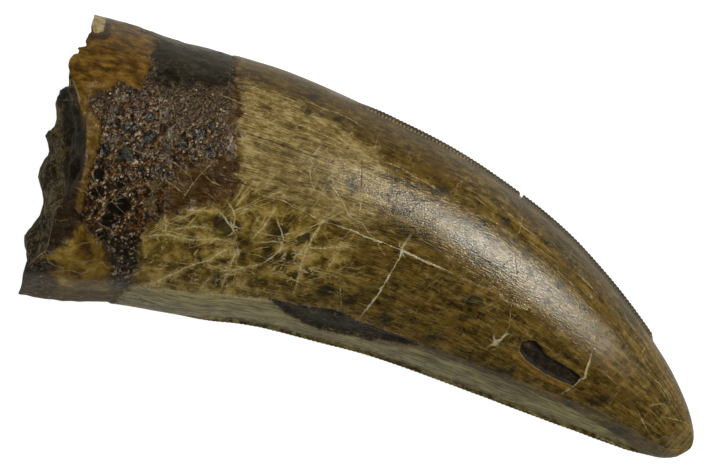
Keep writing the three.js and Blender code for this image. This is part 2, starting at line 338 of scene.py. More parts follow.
# The stripped root
# Below the crown the enamel ends, and the rough, dark dentine of the root shows, a little lower.
STRIPPED_ROOT = [
    (238, 78), (244, 106), (240, 118), (238.5, 150), (239, 184), (232, 196), (216, 203), (190, 209),
    (176, 213), (166, 217), (152, 220), (141, 236), (141, 262), (131, 285), (120, 300), (60, 320),
    (-40, 330), (-40, -40), (150, -40), (225, 40), (236, 60),
]
ENAMEL_STEP = 0.12
ROOT_GRIT = [(2.6, 0.07), (1.1, 0.06), (0.55, 0.035)]
CROWN_WAVES = [(7.0, 0.05), (2.4, 0.018)]


def relief(points, seen, near):
    """How far the skin stands out of the plain form, in millimetres. near is 1 on the near side, 0 below."""
    root = smooth_step(inside_depth(seen, STRIPPED_ROOT) + 0.3 * lumps(points, 1.3, 11), -0.15, 0.3)
    pit = smooth_step(inside_depth(seen, PIT), -0.04, 0.2) * near
    lip = smooth_step(inside_depth(seen, PIT_LIP), -0.1, 0.7) * near * (1 - pit)
    scar = smooth_step(inside_depth(seen, EDGE_SCAR) + 0.12 * lumps(points, 0.9, 12), -0.1, 0.45) * near
    height = gritty(points, CROWN_WAVES, 20) * (1 - root) + root * gritty(points, ROOT_GRIT, 30)
    height = height - ENAMEL_STEP * root - LIP_DEPTH * lip
    pit_floor = PIT_DEPTH * (0.85 + 0.5 * lumps(points, 0.5, 13) * smooth_step(-seen[0], -545, 12))
    scar_floor = SCAR_DEPTH * (0.7 + 0.35 * lumps(points * (0.35, 1, 1), 0.8, 14))
    return height * (1 - pit) * (1 - scar) - pit * pit_floor - scar * scar_floor


# The mesh of the tooth
# Lines along the tooth from rim to tip, closer together on the near side and three times finer in the
# strips along the two cutting edges. Rings close the broken base.
NEAR_LINES = 150
FAR_LINES = 50
STRIP_LINES = 15
STRIP_HALF_ANGLE = math.radians(6.5)
ROWS = 310
FINER = 3  # rows of an edge strip to each row elsewhere
CROWDING = 1.3  # above 1, rows stand closer together near the tip
BREAK_RINGS = 26

strip = np.linspace(-STRIP_HALF_ANGLE, STRIP_HALF_ANGLE, STRIP_LINES)
near_side = np.linspace(STRIP_HALF_ANGLE, math.pi - STRIP_HALF_ANGLE, NEAR_LINES + 2)[1:-1]
far_side = np.linspace(math.pi + STRIP_HALF_ANGLE, 2 * math.pi - STRIP_HALF_ANGLE, FAR_LINES + 2)[1:-1]
line_turn = np.concatenate([strip, near_side, math.pi + strip, far_side])
line_is_fine = np.repeat([True, False, True, False], [STRIP_LINES, NEAR_LINES, STRIP_LINES, FAR_LINES])
rim_angle = section_angle(STATIONS[0, 0], line_turn)
rim_x = np.where(np.sin(rim_angle) >= 0, NEAR_RIM(np.cos(rim_angle)), FAR_RIM(np.cos(rim_angle)))
line_count = len(line_turn)


def lines_from_rim(lines, rows):
    """x and turn of every point of these lines: x = rim + (tip - rim)(1 - (1 - t)^crowding), t from 0."""
    t = np.arange(rows) / rows
    x = rim_x[lines, None] + (TIP_X - rim_x[lines, None]) * (1 - (1 - t) ** CROWDING)
    return x, np.broadcast_to(line_turn[lines, None], x.shape)


coarse_lines = np.flatnonzero(~line_is_fine)
fine_lines = np.flatnonzero(line_is_fine)
line_rows = np.where(line_is_fine, FINER * ROWS, ROWS)
coarse_x, coarse_turn = lines_from_rim(coarse_lines, ROWS)
fine_x, fine_turn = lines_from_rim(fine_lines, FINER * ROWS)
skin_x = np.concatenate([coarse_x.ravel(), fine_x.ravel(), [TIP_X]])
skin_turn = np.concatenate([coarse_turn.ravel(), fine_turn.ravel(), [0.0]])
line_start = np.zeros(line_count, int)
line_start[coarse_lines] = np.arange(len(coarse_lines)) * ROWS
line_start[fine_lines] = coarse_x.size + np.arange(len(fine_lines)) * FINER * ROWS
apex = skin_x.size - 1

# The skin's points, pushed out of the plain form along its normal, and never below the surface.
skin = crown_surface(skin_x, skin_turn)
STEP = 1e-3
along = crown_surface(skin_x - STEP, skin_turn) - crown_surface(skin_x - 2 * STEP, skin_turn)
around = crown_surface(skin_x - STEP, skin_turn + STEP) - crown_surface(skin_x - STEP, skin_turn - STEP)
outward = np.cross(around, along)
outward /= np.maximum(np.linalg.norm(outward, axis=-1, keepdims=True), 1e-9)
outward[apex] = (1, 0, 0)
near = smooth_step(np.sin(skin_turn), 0.0, 0.12)
skin_seen = seen_from_above(skin)
away_from_tip = smooth_step(TIP_X - skin_x, 0.0, 2.5)
on_surface = skin[:, 2] < 0.02
out = relief(skin, skin_seen, near) * away_from_tip * ~on_surface
skin = skin + out[:, None] * outward
skin[line_start, 0] += gritty(skin[line_start], RIM_GRIT, 40)
skin[:, 2] = np.maximum(skin[:, 2], 0)

# The rings of the broken face, from just inside the rim to one point in the middle.
rim = skin[line_start]
middle = rim.mean(axis=0)
share = 1 - np.arange(1, BREAK_RINGS) / BREAK_RINGS
face = middle + share[:, None, None] * (rim - middle)
face[..., 0] = break_x(share[:, None] * np.cos(rim_angle), share[:, None] * np.sin(rim_angle))
grit_share = 1 - share[:, None] ** 8
face[..., 0] += gritty(face, BREAK_GRIT, 50) * grit_share
face = np.concatenate([face.reshape(-1, 3), [[break_x(0.0, 0.0), middle[1], middle[2]]]])
centre = len(skin) + len(face) - 1
points = np.concatenate([skin, face])


def between_lines(j):
    """Faces between a line and the next one: quads, or where one of them is finer, quads with more corners
    on that side, and one last face that ends in the apex."""
    k = (j + 1) % line_count
    a, b = line_start[j], line_start[k]
    stride_a, stride_b = (FINER, 1) if line_is_fine[j] > line_is_fine[k] else (1, FINER)
    if line_is_fine[j] == line_is_fine[k]:
        stride_a = stride_b = 1
    i = np.arange(line_rows[j] // stride_a - 1)[:, None]
    up_b = b + stride_b * i + np.arange(stride_b + 1)
    down_a = a + stride_a * i + np.arange(stride_a, 0, -1)
    faces = np.hstack([a + stride_a * i, up_b, down_a]).tolist()
    last = line_rows[j] // stride_a - 1
    top_b = list(range(b + stride_b * last, b + line_rows[k]))
    top_a = list(range(a + line_rows[j] - 1, a + stride_a * last, -1))
    return faces + [[a + stride_a * last] + top_b + [apex] + top_a]


skin_faces = [f for j in range(line_count) for f in between_lines(j)]
ring = np.vstack([line_start, len(skin) + np.arange((BREAK_RINGS - 1) * line_count).reshape(-1, line_count)])
following = np.roll(ring, -1, axis=1)
break_faces = np.stack([ring[:-1], ring[1:], following[1:], following[:-1]], axis=-1).reshape(-1, 4).tolist()
last_ring = np.stack([ring[-1], np.full(line_count, centre), following[-1]], axis=-1).tolist()

mesh = bpy.data.meshes.new("tooth_fossil")
mesh.from_pydata((points * MM).tolist(), [], skin_faces + break_faces + last_ring)
mesh.polygons.foreach_set("use_smooth", np.ones(len(mesh.polygons), bool))
is_break = np.arange(len(mesh.polygons)) >= len(skin_faces)
mesh.polygons.foreach_set("material_index", is_break.astype(np.int32))
edge_ends = np.zeros(2 * len(mesh.edges), np.int32)
mesh.edges.foreach_get("vertices", edge_ends)
rim_points = np.zeros(len(points), bool)
rim_points[line_start] = True
sharp = mesh.attributes.new("sharp_edge", "BOOLEAN", "EDGE")
sharp.data.foreach_set("value", rim_points[edge_ends.reshape(-1, 2)].all(axis=1))
mesh.update()
tooth = bpy.data.objects.new("tooth_fossil", mesh)
bpy.context.scene.collection.objects.link(tooth)


def mark(name, values):
    """Stores one number, or three, for each point of the mesh, for the materials to read."""
    values = np.asarray(values, np.float32)
    kind, field = ("FLOAT", "value") if values.ndim == 1 else ("FLOAT_VECTOR", "vector")
    mesh.attributes.new(name, kind, "POINT").data.foreach_set(field, values.ravel())


seen = seen_from_above(points)
point_near = np.concatenate([near, np.ones(len(face))])
edge_masks = cutting_edges(skin_x, skin_turn)[1:]
for name, mask in zip(("keels", "denticle_gap_shade", "denticle_highlights"), edge_masks):
    mark(name, np.concatenate([mask, np.zeros(len(face))]))

# Straightened place, in millimetres: along the tooth, and round it as on a plain oval rod, so that fibres
# drawn along its first axis follow the curve of the tooth.
FIBRE_HALF_WIDTH = 15
FIBRE_HALF_DEPTH = 12
straight_y = FIBRE_HALF_WIDTH * np.cos(skin_turn)
straight_z = FIBRE_HALF_DEPTH * np.sin(skin_turn)
mark("straight", np.concatenate([np.stack([skin_x, straight_y, straight_z], axis=-1), face]))

# The patches of colour
# Minerals have stained the enamel and the root in patches, and a few patches hold painted shade, painted
# sheen and painted reflections. Each outline is as seen from above, and its mark is the distance inside it,
# in millimetres.
PATCHES = {
    "stripped": STRIPPED_ROOT,
    "pit": PIT,
    "pit_lip": PIT_LIP,
    "scar": EDGE_SCAR,
    "tan_and_sheen": [
        (240, 80), (262, 88), (300, 103), (330, 118), (362, 140), (385, 155), (392, 180), (372, 232),
        (345, 226), (310, 212), (270, 196), (240, 184),
    ],
    "golden": [
        (244, 62), (290, 74), (350, 100), (400, 124), (450, 150), (480, 172), (470, 182), (440, 186),
        (400, 160), (362, 140), (330, 118), (300, 103), (262, 90), (240, 84),
    ],
    "amber_corner": [
        (60, -10), (120, 20), (152, 34), (156, 46), (148, 58), (156, 66), (146, 78), (140, 90), (128, 90),
        (118, 84), (108, 92), (92, 98), (60, 96),
    ],
    "chip": [(86, 10), (106, 18), (104, 33), (96, 34), (93, 31)],
    "black_band": [
        (157, 20), (240, 40), (241, 62), (232, 72), (236, 84), (222, 90), (206, 92), (184, 86), (164, 90),
        (150, 80), (156, 66), (148, 56),
    ],
    "grey_root_sheen": [
        (156, 92), (184, 84), (232, 84), (242, 100), (240, 134), (226, 150), (206, 140), (186, 134),
        (166, 120),
    ],
    "ochre_rim": [
        (78, 80), (86, 92), (90, 104), (95, 114), (103, 122), (102, 136), (99, 148), (98, 158), (92, 168),
        (89, 182), (86, 196), (86, 208), (80, 214), (79, 200), (82, 186), (85, 172), (88, 155), (86, 130),
        (80, 108),
    ],
    "umber_wall": [
        (78, 104), (84, 116), (88, 130), (88, 155), (85, 172), (82, 190), (82, 214), (76, 232), (60, 250),
        (46, 253), (50, 236), (55, 214), (62, 200), (66, 185), (64, 150), (63, 125), (66, 106),
    ],
    "lit_break_ridge": [
        (56, 106), (63, 112), (66, 150), (66, 188), (60, 204), (52, 212), (45, 210), (50, 186), (56, 160),
        (53, 130),
    ],
    "hollow_shade": [(48, 92), (62, 88), (76, 88), (82, 101), (72, 104), (60, 103), (50, 101)],
    "amber_foot": [
        (44, 258), (58, 250), (72, 238), (84, 222), (94, 232), (100, 243), (108, 252), (110, 268),
        (112, 280), (116, 300), (60, 300), (56, 280),
    ],
    "brown_margin": [
        (168, 178), (186, 166), (214, 158), (226, 146), (228, 118), (230, 96), (234, 84), (246, 84),
        (246, 190), (232, 208), (196, 212), (178, 214), (166, 204),
    ],
    "black_wall": [(62, 104), (80, 104), (86, 118), (88, 132), (87, 150), (80, 160), (67, 158), (65, 130)],
    "pocket_shadow": [(31, 264), (44, 258), (58, 262), (60, 270), (50, 273), (34, 276), (24, 284), (20, 280)],
    "base_edge": [(-20, 284), (40, 288), (80, 290), (134, 292), (160, 300), (120, 330), (-20, 330)],
    "dark_foot": [
        (107, 238), (132, 232), (143, 240), (142, 262), (136, 278), (120, 284), (108, 280), (112, 262),
    ],
    "crazed": [
        (142, 232), (176, 212), (222, 182), (252, 190), (300, 212), (346, 228), (356, 250), (340, 276),
        (300, 292), (246, 296), (180, 290), (136, 284),
    ],
    "flank": [
        (100, 286), (134, 288.5), (168, 290), (207, 294), (238, 297), (274, 300.5), (293, 317), (320, 329),
        (354, 336), (380, 345), (414, 348), (449, 360), (495, 376), (560, 403.5), (600, 425), (648, 456),
        (640, 480), (400, 420), (240, 360), (100, 330),
    ],
    "front_strip_shade": [
        (375, 108), (420, 130), (470, 158), (520, 192), (560, 225), (600, 270), (640, 315), (656, 345),
        (690, 410), (710, 400), (640, 240), (480, 120), (390, 90), (372, 100),
    ],
    "front_shade": [
        (430, 128), (480, 160), (500, 196), (520, 216), (548, 240), (566, 262), (600, 290), (620, 320),
        (660, 330), (600, 240), (500, 160), (440, 125),
    ],
    "front_ledge_sheen": [(360, 102), (372, 106), (376, 112), (366, 108), (352, 103), (330, 93), (330, 86)],
    "tip_edge_reflection": [
        (600, 262), (640, 312), (656, 345), (676, 375), (696, 425), (700, 440), (720, 400), (660, 300),
        (610, 240),
    ],
}
for name, outline in PATCHES.items():
    mark(name, inside_depth(seen, outline))

# Round blots: middle across and down and half sizes, as seen from above.
BLOTS = {
    "dark_blots": [
        (314, 98, 8, 5), (308, 112, 5, 8), (338, 119, 6, 6), (328, 186, 8, 9), (276, 234, 11, 6),
        (306, 238, 9, 7), (284, 260, 9, 7), (225, 228, 16, 13), (526, 252, 7, 9), (516, 240, 5, 5),
        (530, 272, 8, 6), (353, 186, 8, 14), (548, 300, 9, 5), (560, 285, 8, 6), (505, 222, 7, 7),
        (440, 190, 14, 8), (600, 400, 18, 8), (615, 432, 18, 7), (480, 262, 8, 5), (424, 262, 8, 6),
        (472, 300, 14, 8), (386, 318, 9, 12), (462, 318, 12, 6), (505, 372, 16, 6), (436, 336, 16, 6),
        (350, 300, 12, 8), (636, 300, 8, 4), (664, 400, 8, 5), (268, 252, 7, 9), (296, 262, 11, 5),
        (236, 226, 7, 11), (186, 268, 16, 6), (326, 290, 14, 8), (290, 258, 12, 9), (226, 262, 8, 5),
        (218, 222, 9, 11), (300, 240, 10, 7), (286, 228, 8, 6),
    ],
    "gold_blots": [
        (232, 193, 9, 8), (386, 262, 12, 10), (366, 255, 12, 9), (500, 330, 22, 9), (512, 352, 12, 7),
        (455, 320, 18, 7), (540, 318, 14, 9), (410, 300, 16, 8), (560, 262, 9, 8), (570, 282, 9, 7),
        (604, 318, 11, 14), (578, 330, 12, 8), (484, 208, 10, 6), (430, 170, 24, 10), (590, 360, 10, 9),
        (654, 390, 6, 9), (618, 396, 26, 13),
    ],
    "olive_spots": [
        (173, 137, 8, 9), (155, 186, 8, 9), (153, 206, 7, 11), (158, 226, 7, 8), (148, 240, 6, 6),
        (196, 206, 12, 6), (130, 246, 4, 5), (122, 98, 8, 6),
    ],
    "yellow_spots": [
        (51, 171, 4, 3), (54, 136, 3, 3), (57, 113, 3, 3), (63, 152, 5, 4), (45, 264, 4, 3), (66, 148, 4, 3),
        (130, 246, 3, 3), (122, 276, 5, 2),
    ],
    "dark_cells": [  # smooth dark cells of the root
        (132, 127, 9, 8), (151, 138, 9, 7), (127, 155, 9, 10), (201, 135, 9, 7), (184, 142, 6, 9),
        (185, 178, 6, 7), (101, 174, 6, 7), (120, 206, 13, 12), (99, 192, 7, 8), (110, 222, 10, 8),
        (150, 118, 7, 6), (107, 150, 6, 8), (142, 172, 6, 5), (196, 160, 5, 5), (104, 236, 7, 6),
        (170, 176, 7, 7), (122, 184, 6, 6), (212, 126, 5, 5),
    ],
    "speckled": [  # where the root glints
        (139, 123, 14, 20), (193, 140, 12, 20), (123, 174, 16, 16), (120, 230, 10, 14), (160, 104, 10, 16),
        (150, 165, 20, 14), (180, 178, 16, 12), (118, 275, 10, 5), (108, 140, 8, 22),
    ],
}


def blots(seen, spots):
    """The largest of 1 - r^2 over the blots, where r is the distance from a blot's middle over its half
    size."""
    across, down = seen
    most = np.full(across.shape, -1.0)
    for mid_across, mid_down, half_across, half_down in spots:
        square = ((across - mid_across) / half_across) ** 2 + ((down - mid_down) / half_down) ** 2
        most = np.maximum(most, 1 - square)
    return most


for name, spots in BLOTS.items():
    mark(name, blots(seen, spots))

# Wear stripes at the tip: the distance past their first line. Two more marks say which points are on the
# near side, and how far a point faces up.
STRIPE_LINE = ((666, 451), (687, 427))
STRIPE_SPACING = 0.56
(ax, ay), (bx, by) = STRIPE_LINE
past_line = ((seen[1] - ay) * (bx - ax) - (seen[0] - ax) * (by - ay)) / math.hypot(bx - ax, by - ay)
mark("tip_stripes", past_line * PICTURE_MM)
mark("near_side", point_near)
mark("upwards", np.concatenate([np.sin(skin_turn), np.ones(len(face))]))

# The cracks
# Fine cracks filled with pale calcite run along and across the tooth, and a few are open and dark. Each
# is a strength and its points as seen from above.
CRACKS = {
    "cracks_along": [
        (0.9, [(251, 187.5), (261, 195), (271, 198), (281.6, 200), (292, 206), (302, 210.6), (309.7, 214.4),
            (320, 221), (334, 224.6), (345, 228.5), (353, 231)]),
        (0.35, [(447, 272), (470, 282), (500, 295), (535, 310)]),
        (0.7, [(239.5, 86), (251, 87), (260, 90), (271, 93.4), (283, 97), (294, 101.5), (302, 104.6)]),
        (0.7, [(303, 101), (315, 104.6), (322.5, 109), (332.7, 111.7), (343, 116), (353, 121),
            (361, 125.7)]),
        (0.8, [(220, 95), (232, 99.5), (243, 104.6), (253.6, 107), (264, 110), (271, 113.6), (281.6, 118),
            (294, 122.5), (297, 125.7), (304.6, 125.7), (311, 129.5), (321, 134), (327.6, 137), (344, 145),
            (353, 149), (359.4, 152), (364.5, 154.4)]),
        (0.5, [(385, 162), (400, 168), (414, 176), (432, 186), (440, 192)]),
        (0.6, [(501, 206.6), (505.8, 211), (510.4, 215), (514, 217.7)]),
        (0.8, [(517.3, 221), (524, 228), (528, 231), (534.9, 235.6)]),
        (0.6, [(473, 196.6), (477.5, 199), (482.8, 203.5)]),
        (0.7, [(531, 243), (539, 249), (547, 255), (557, 262)]),
        (0.6, [(557, 270), (566, 279), (574, 286)]),
        (0.7, [(577, 273), (588, 284), (599, 295)]),
        (0.8, [(573.5, 291), (577.6, 298), (581, 302)]),
        (0.8, [(590, 294), (592, 299)]),
        (0.6, [(581, 302), (588, 306), (594, 311)]),
        (0.5, [(515, 300), (530, 308), (536, 312)]),
        (0.6, [(500, 298), (517, 306), (534, 313)]),
        (0.5, [(475, 317), (484, 323), (494, 329)]),
        (0.5, [(350.5, 268), (355.6, 268.6), (367, 265.5)]),
        (0.5, [(346.7, 276), (358, 277.6), (369.6, 279.5)]),
        (0.7, [(646.4, 370.7), (651.8, 377.5), (660, 384), (664, 389.6), (668, 396.4), (672, 404.5)]),
        (0.5, [(600, 369), (610, 378), (616, 384)]),
        (0.7, [(645, 358), (653, 367)]),
        (0.8, [(637, 410), (642.4, 420.7), (649, 432.9)]),
        (0.6, [(664, 416.7), (674.8, 419.4), (684, 422), (689.6, 426)]),
        (0.6, [(134, 287), (149, 288.4), (168.4, 289)]),
        (0.7, [(198, 292), (207, 293.5), (226, 294), (238.6, 296.7), (260, 298.6), (274, 299)]),
        (0.6, [(352, 318), (364, 321.5), (376, 328), (392, 333)]),
        (0.4, [(380, 345), (414, 348), (429, 350.7), (449, 360), (468, 365.6)]),
        (0.6, [(343, 266.7), (352, 268), (360, 270)]),
        (0.6, [(60, 272), (70, 270), (76.6, 272), (84, 273.8), (90.6, 269), (98, 265.5), (103, 261.6),
            (108.5, 268)]),
    ],
    "cracks_across": [
        (0.5, [(260, 89), (258, 97), (255.5, 104.6), (255, 108)]),
        (0.6, [(322, 145), (318.6, 149), (313.5, 154)]),
        (0.5, [(309.7, 171), (311, 182.4), (316, 194)]),
        (0.7, [(330, 184), (335, 191.5), (341.6, 200.4), (348, 214.4), (353, 219.5), (362, 223.4),
            (368.4, 233.6), (377.3, 240)]),
        (0.5, [(378.6, 135), (375.4, 146.7), (365.8, 153)]),
        (0.5, [(360.7, 195), (361, 201.7), (358.8, 213)]),
        (0.6, [(336.5, 256.5), (329, 265.5), (330, 273)]),
        (0.6, [(340.3, 279.5), (340.3, 289.7), (341.6, 307.6)]),
        (0.5, [(329, 291), (339, 295), (344, 295)]),
        (0.5, [(377, 242.5), (382.4, 251.4), (386, 256.5)]),
        (0.6, [(522, 216), (521, 224), (519, 232), (516, 234)]),
        (0.5, [(503, 229), (508, 232), (514, 236)]),
        (0.5, [(511, 302), (510, 312), (509, 326), (505, 334)]),
        (0.7, [(645, 347.8), (641, 355.9)]),
        (0.4, [(624.8, 314), (627.5, 320.8), (633, 326), (634, 331.6)]),
        (0.3, [(594, 320), (595, 335), (592, 352)]),
        (0.5, [(649, 405.8), (664, 403)]),
        (0.6, [(378, 341), (373, 349), (370, 354)]),
        (0.5, [(158, 88), (161, 96), (160, 111), (162, 114), (161, 122)]),
    ],
    "cracks_bold": [
        (1.0, [(407, 239.6), (400.7, 249.5), (400, 256.5), (391, 272), (383.7, 284.6), (377, 296),
            (369.6, 305), (359.4, 317.8)]),
        (1.0, [(340, 226.5), (353, 231), (364.5, 236), (376, 240.6), (386, 243.8), (400, 249.5),
            (416, 257.5), (432, 264.5), (450, 272)]),
        (0.9, [(591, 353), (589, 362), (585.5, 371), (585, 377), (580, 379), (575, 384), (570, 388),
            (563, 392.5)]),
        (1.0, [(489, 345.5), (493, 343), (497, 341), (501, 339), (505, 334), (508, 334.5)]),
        (1.0, [(493, 336), (494, 341), (493, 345), (497, 344)]),
        (0.9, [(224, 216), (228, 222), (233, 228), (236, 233)]),
        (0.8, [(229, 203), (233, 209), (236, 217), (234, 226), (241, 229)]),
        (0.7, [(206, 227), (210, 229), (213, 231)]),
        (0.8, [(277, 218), (279, 225), (282, 232), (284, 241), (281, 246)]),
        (0.8, [(260, 242.4), (268, 242), (274, 241.5), (281, 243), (286, 241)]),
        (0.9, [(284, 245), (279, 251), (273.6, 256), (263, 263)]),
        (0.9, [(292.7, 249), (297, 252), (301.4, 254.5), (309, 256)]),
        (0.7, [(295, 258), (298, 253), (303, 249)]),
        (0.6, [(237, 242.4), (238, 249), (239, 256)]),
    ],
    "cracks_crazed": [  # wide cream lines of the crazed patch and of the crease under it
        (0.9, [(186, 210), (199, 211), (212, 211), (218, 210), (224, 216)]),
        (0.8, [(166, 215), (167, 226), (167, 237)]),
        (0.8, [(145, 237), (156, 235), (168, 234), (177, 237), (192, 240), (216, 239), (234, 242)]),
        (0.8, [(170, 230), (180, 228.5), (192, 227), (204, 227), (213, 228.5)]),
        (1.0, [(135, 287), (152, 284), (171, 275), (185, 268), (198, 263), (209.5, 260), (222, 252),
            (236, 245)]),
        (0.6, [(135, 275), (142, 270)]),
        (0.7, [(202, 288), (207, 281), (212, 276)]),
        (0.8, [(221.6, 288), (226, 277), (230, 267), (235, 256), (239, 246)]),
        (0.6, [(242, 286), (246, 280)]),
        (0.8, [(253, 239), (260, 231), (267, 223), (272, 215), (275.4, 207.7)]),
        (0.6, [(254.6, 225), (260, 216)]),
        (0.7, [(242.5, 209.5), (250, 209), (256, 210)]),
        (0.6, [(268.5, 197), (275, 193), (281, 192), (288, 199)]),
        (0.9, [(326, 216), (322, 222), (317, 231), (311, 241), (306, 250), (302, 264), (299, 277),
            (295, 291)]),
        (0.8, [(263, 263), (250, 266.5), (234, 270), (218, 271)]),
        (0.8, [(303, 249), (309, 247.6), (324, 248.5), (335, 247), (346.7, 246.5)]),
        (0.6, [(329, 267), (336, 256)]),
        (1.0, [(131, 287), (149, 288.6), (168.4, 290.5), (184, 292)]),
        (0.9, [(198, 293), (207, 294), (226, 295), (238.6, 297.5), (260, 299.5), (275, 300.5)]),
    ],
    "cracks_amber": [
        (0.9, [(476, 184), (469.8, 179.8), (465, 177.5), (463, 180.6), (457.6, 185), (455, 189),
            (448.4, 194), (441, 200)]),
        (1.0, [(441, 200), (430.6, 214.7), (420.6, 226), (407, 239.6)]),
        (0.7, [(585, 352), (592, 346), (601, 348), (603, 356), (600, 362)]),
        (0.6, [(511, 302), (510, 312), (509, 326), (505, 334)]),
        (0.7, [(513, 357), (530, 368), (550, 378), (565, 385)]),
        (0.6, [(363, 154), (380, 160), (400, 168), (420, 178), (440, 192)]),
        (0.6, [(241, 186), (248, 188), (262, 196), (276, 202), (292, 210)]),
    ],
    "cracks_rim": [
        (1.0, [(67, 188), (62, 199), (59, 206), (55, 214), (53, 228), (49, 245), (46, 251), (40, 256),
            (31, 264)]),
        (0.8, [(46, 251), (50, 262), (58, 266), (66, 268)]),
        (0.9, [(74, 80), (77, 88), (80, 96), (81, 103)]),
        (0.9, [(61, 100), (70, 101), (80, 100)]),
        (0.6, [(70, 92), (72, 96), (76, 96)]),
        (0.7, [(55, 219), (62, 221), (68, 220)]),
        (0.6, [(57, 206), (63, 203), (65, 196)]),
        (0.6, [(75, 182), (86, 182)]),
        (0.8, [(76, 187), (84, 191), (95, 197)]),
        (0.7, [(90, 168), (95, 179), (98, 188)]),
        (0.6, [(62, 241), (74, 246), (92, 242), (104, 236)]),
        (0.6, [(60, 257), (70, 259), (84, 262), (98, 259)]),
        (0.5, [(54, 272), (70, 270), (84, 274), (98, 268)]),
        (0.5, [(98, 222), (108, 228), (118, 234)]),
    ],
    "cracks_root": [
        (0.9, [(128, 148), (142, 153), (156, 158), (170, 160)]),
        (0.8, [(170, 160), (182, 168), (192, 178)]),
        (1.0, [(184, 199), (192, 186), (200, 176), (208, 168), (214, 162)]),
        (0.8, [(166, 180), (176, 187), (184, 194)]),
        (0.8, [(206, 176), (212, 182), (222, 186)]),
        (0.6, [(206, 192), (214, 198), (218, 203)]),
        (0.7, [(120, 152), (116, 160), (112, 168)]),
        (0.7, [(112, 196), (122, 192), (134, 188), (148, 184)]),
        (0.6, [(104, 206), (116, 200), (130, 196)]),
        (0.7, [(98, 215), (106, 206), (114, 200), (122, 190)]),
        (0.6, [(112, 200), (120, 208), (128, 216)]),
        (0.6, [(140, 112), (144, 120), (150, 128), (156, 134)]),
        (0.5, [(150, 128), (158, 126), (164, 122)]),
        (0.6, [(92, 180), (98, 190), (104, 200)]),
        (0.5, [(104, 140), (112, 146), (124, 148)]),
        (0.5, [(192, 160), (204, 158), (214, 160)]),
    ],
    "cracks_dark": [
        (0.9, [(247, 133), (255, 136.5), (266, 140), (281.6, 145.5), (287, 147), (295.7, 150), (306, 154),
            (311, 155.7), (322, 159.5)]),
        (0.8, [(207.6, 174.8), (223, 177), (233, 180), (242, 183), (251, 187.5)]),
        (0.7, [(362, 159.5), (362, 172), (361, 187.5)]),
        (0.8, [(405, 180), (412, 186), (420, 190), (430, 190), (434, 196)]),
        (0.6, [(405, 185), (412, 194), (415, 198)]),
        (0.5, [(417, 203), (411, 211), (405, 217)]),
        (0.6, [(420, 201), (430, 201), (437, 200)]),
        (0.5, [(424, 240), (440, 250), (452, 259), (466, 268), (480, 275), (492, 284), (503, 294)]),
        (0.6, [(452, 268), (463, 276), (474, 282)]),
        (0.6, [(474, 252), (484, 259), (496, 268), (508, 276), (522, 285)]),
        (0.5, [(500, 268), (508, 261)]),
        (0.5, [(515, 259), (517, 275)]),
        (0.6, [(134, 150), (147, 155), (162, 160), (166, 159)]),
        (0.6, [(175, 164), (186, 170)]),
        (0.6, [(202, 174), (194, 180), (187.5, 188)]),
        (0.7, [(131, 293.5), (149, 302), (172, 309)]),
    ],
}


def crack_distance(seen, cracks):
    """For each place, three numbers of its nearest crack: the distance to it with a sign for the side, the
    plain distance, both in millimetres, and the crack's strength, which dies away at its two ends."""
    across, down = seen
    plain = np.full(across.shape, 1e3)
    sided = np.full(across.shape, 1e3)
    strength = np.zeros(across.shape)
    for force, route in cracks:
        route = np.asarray(route, float)
        lengths = np.hypot(*np.diff(route, axis=0).T)
        covered = np.append(0, np.cumsum(lengths))
        for (ax, ay), (bx, by), length, start in zip(route, route[1:], lengths, covered):
            run = np.clip(((across - ax) * (bx - ax) + (down - ay) * (by - ay)) / length**2, 0, 1)
            gap = np.hypot(across - ax - run * (bx - ax), down - ay - run * (by - ay)) * PICTURE_MM
            side = np.sign((across - ax) * (by - ay) - (down - ay) * (bx - ax))
            place = (start + run * length) / covered[-1]
            closer = gap < plain
            plain = np.where(closer, gap, plain)
            sided = np.where(closer, gap * side, sided)
            fade = smooth_step(place, 0, 0.12) * (1 - smooth_step(place, 0.85, 0.15))
            strength = np.where(closer, force * (0.35 + 0.65 * fade), strength)
    return np.stack([sided, plain, strength], axis=-1)


for name, family in CRACKS.items():
    field = crack_distance(seen, family)
    if name != "cracks_rim":  # the rim's cracks run over onto the broken face
        field[:, 2] *= point_near
    mark(name, field)


# The enamel's finish
# Polished, mineralised enamel: olive brown with golden and dark fibres along the tooth, stained in patches,
# with pale cracks, and rough dark dentine where it is gone. Some light and shade is painted into its colour.
class Shade:
    """A number, a colour or a place that a material works out. Sums with shades add their math nodes: +, -
    and * as usual, | for the larger of two, ~ for one minus it, and abs for its size without its sign."""

    def __init__(self, socket):
        self.socket = socket
        self.tree = socket.id_data

    def __add__(self, other):
        return reckon("ADD", self, other)

    def __sub__(self, other):
        return reckon("SUBTRACT", self, other)

    def __mul__(self, other):
        return reckon("MULTIPLY", self, other)

    def __or__(self, other):
        return reckon("MAXIMUM", self, other)

    def __invert__(self):
        return reckon("SUBTRACT", 1.0, self)

    def __abs__(self):
        return reckon("ABSOLUTE", self)


def put(tree, kind, sockets=None, **settings):
    """Adds a node, sets its settings, and sets or links its inputs, which are given by name or by number."""
    made = tree.nodes.new(kind)
    for name, value in settings.items():
        setattr(made, name, value)
    for name, value in (sockets or {}).items():
        if isinstance(value, Shade):
            tree.links.new(value.socket, made.inputs[name])
        else:
            made.inputs[name].default_value = value
    return made


def reckon(operation, *values):
    """A math node's result."""
    tree = next(value.tree for value in values if isinstance(value, Shade))
    return Shade(put(tree, "ShaderNodeMath", dict(enumerate(values)), operation=operation).outputs[0])


def limit(value, low, high, to_low=0.0, to_high=1.0):
    """value from low..high to to_low..to_high, smoothly and held at both ends."""
    sockets = {"Value": value, "From Min": low, "From Max": high, "To Min": to_low, "To Max": to_high}
    return Shade(put(value.tree, "ShaderNodeMapRange", sockets, interpolation_type="SMOOTHSTEP").outputs[0])


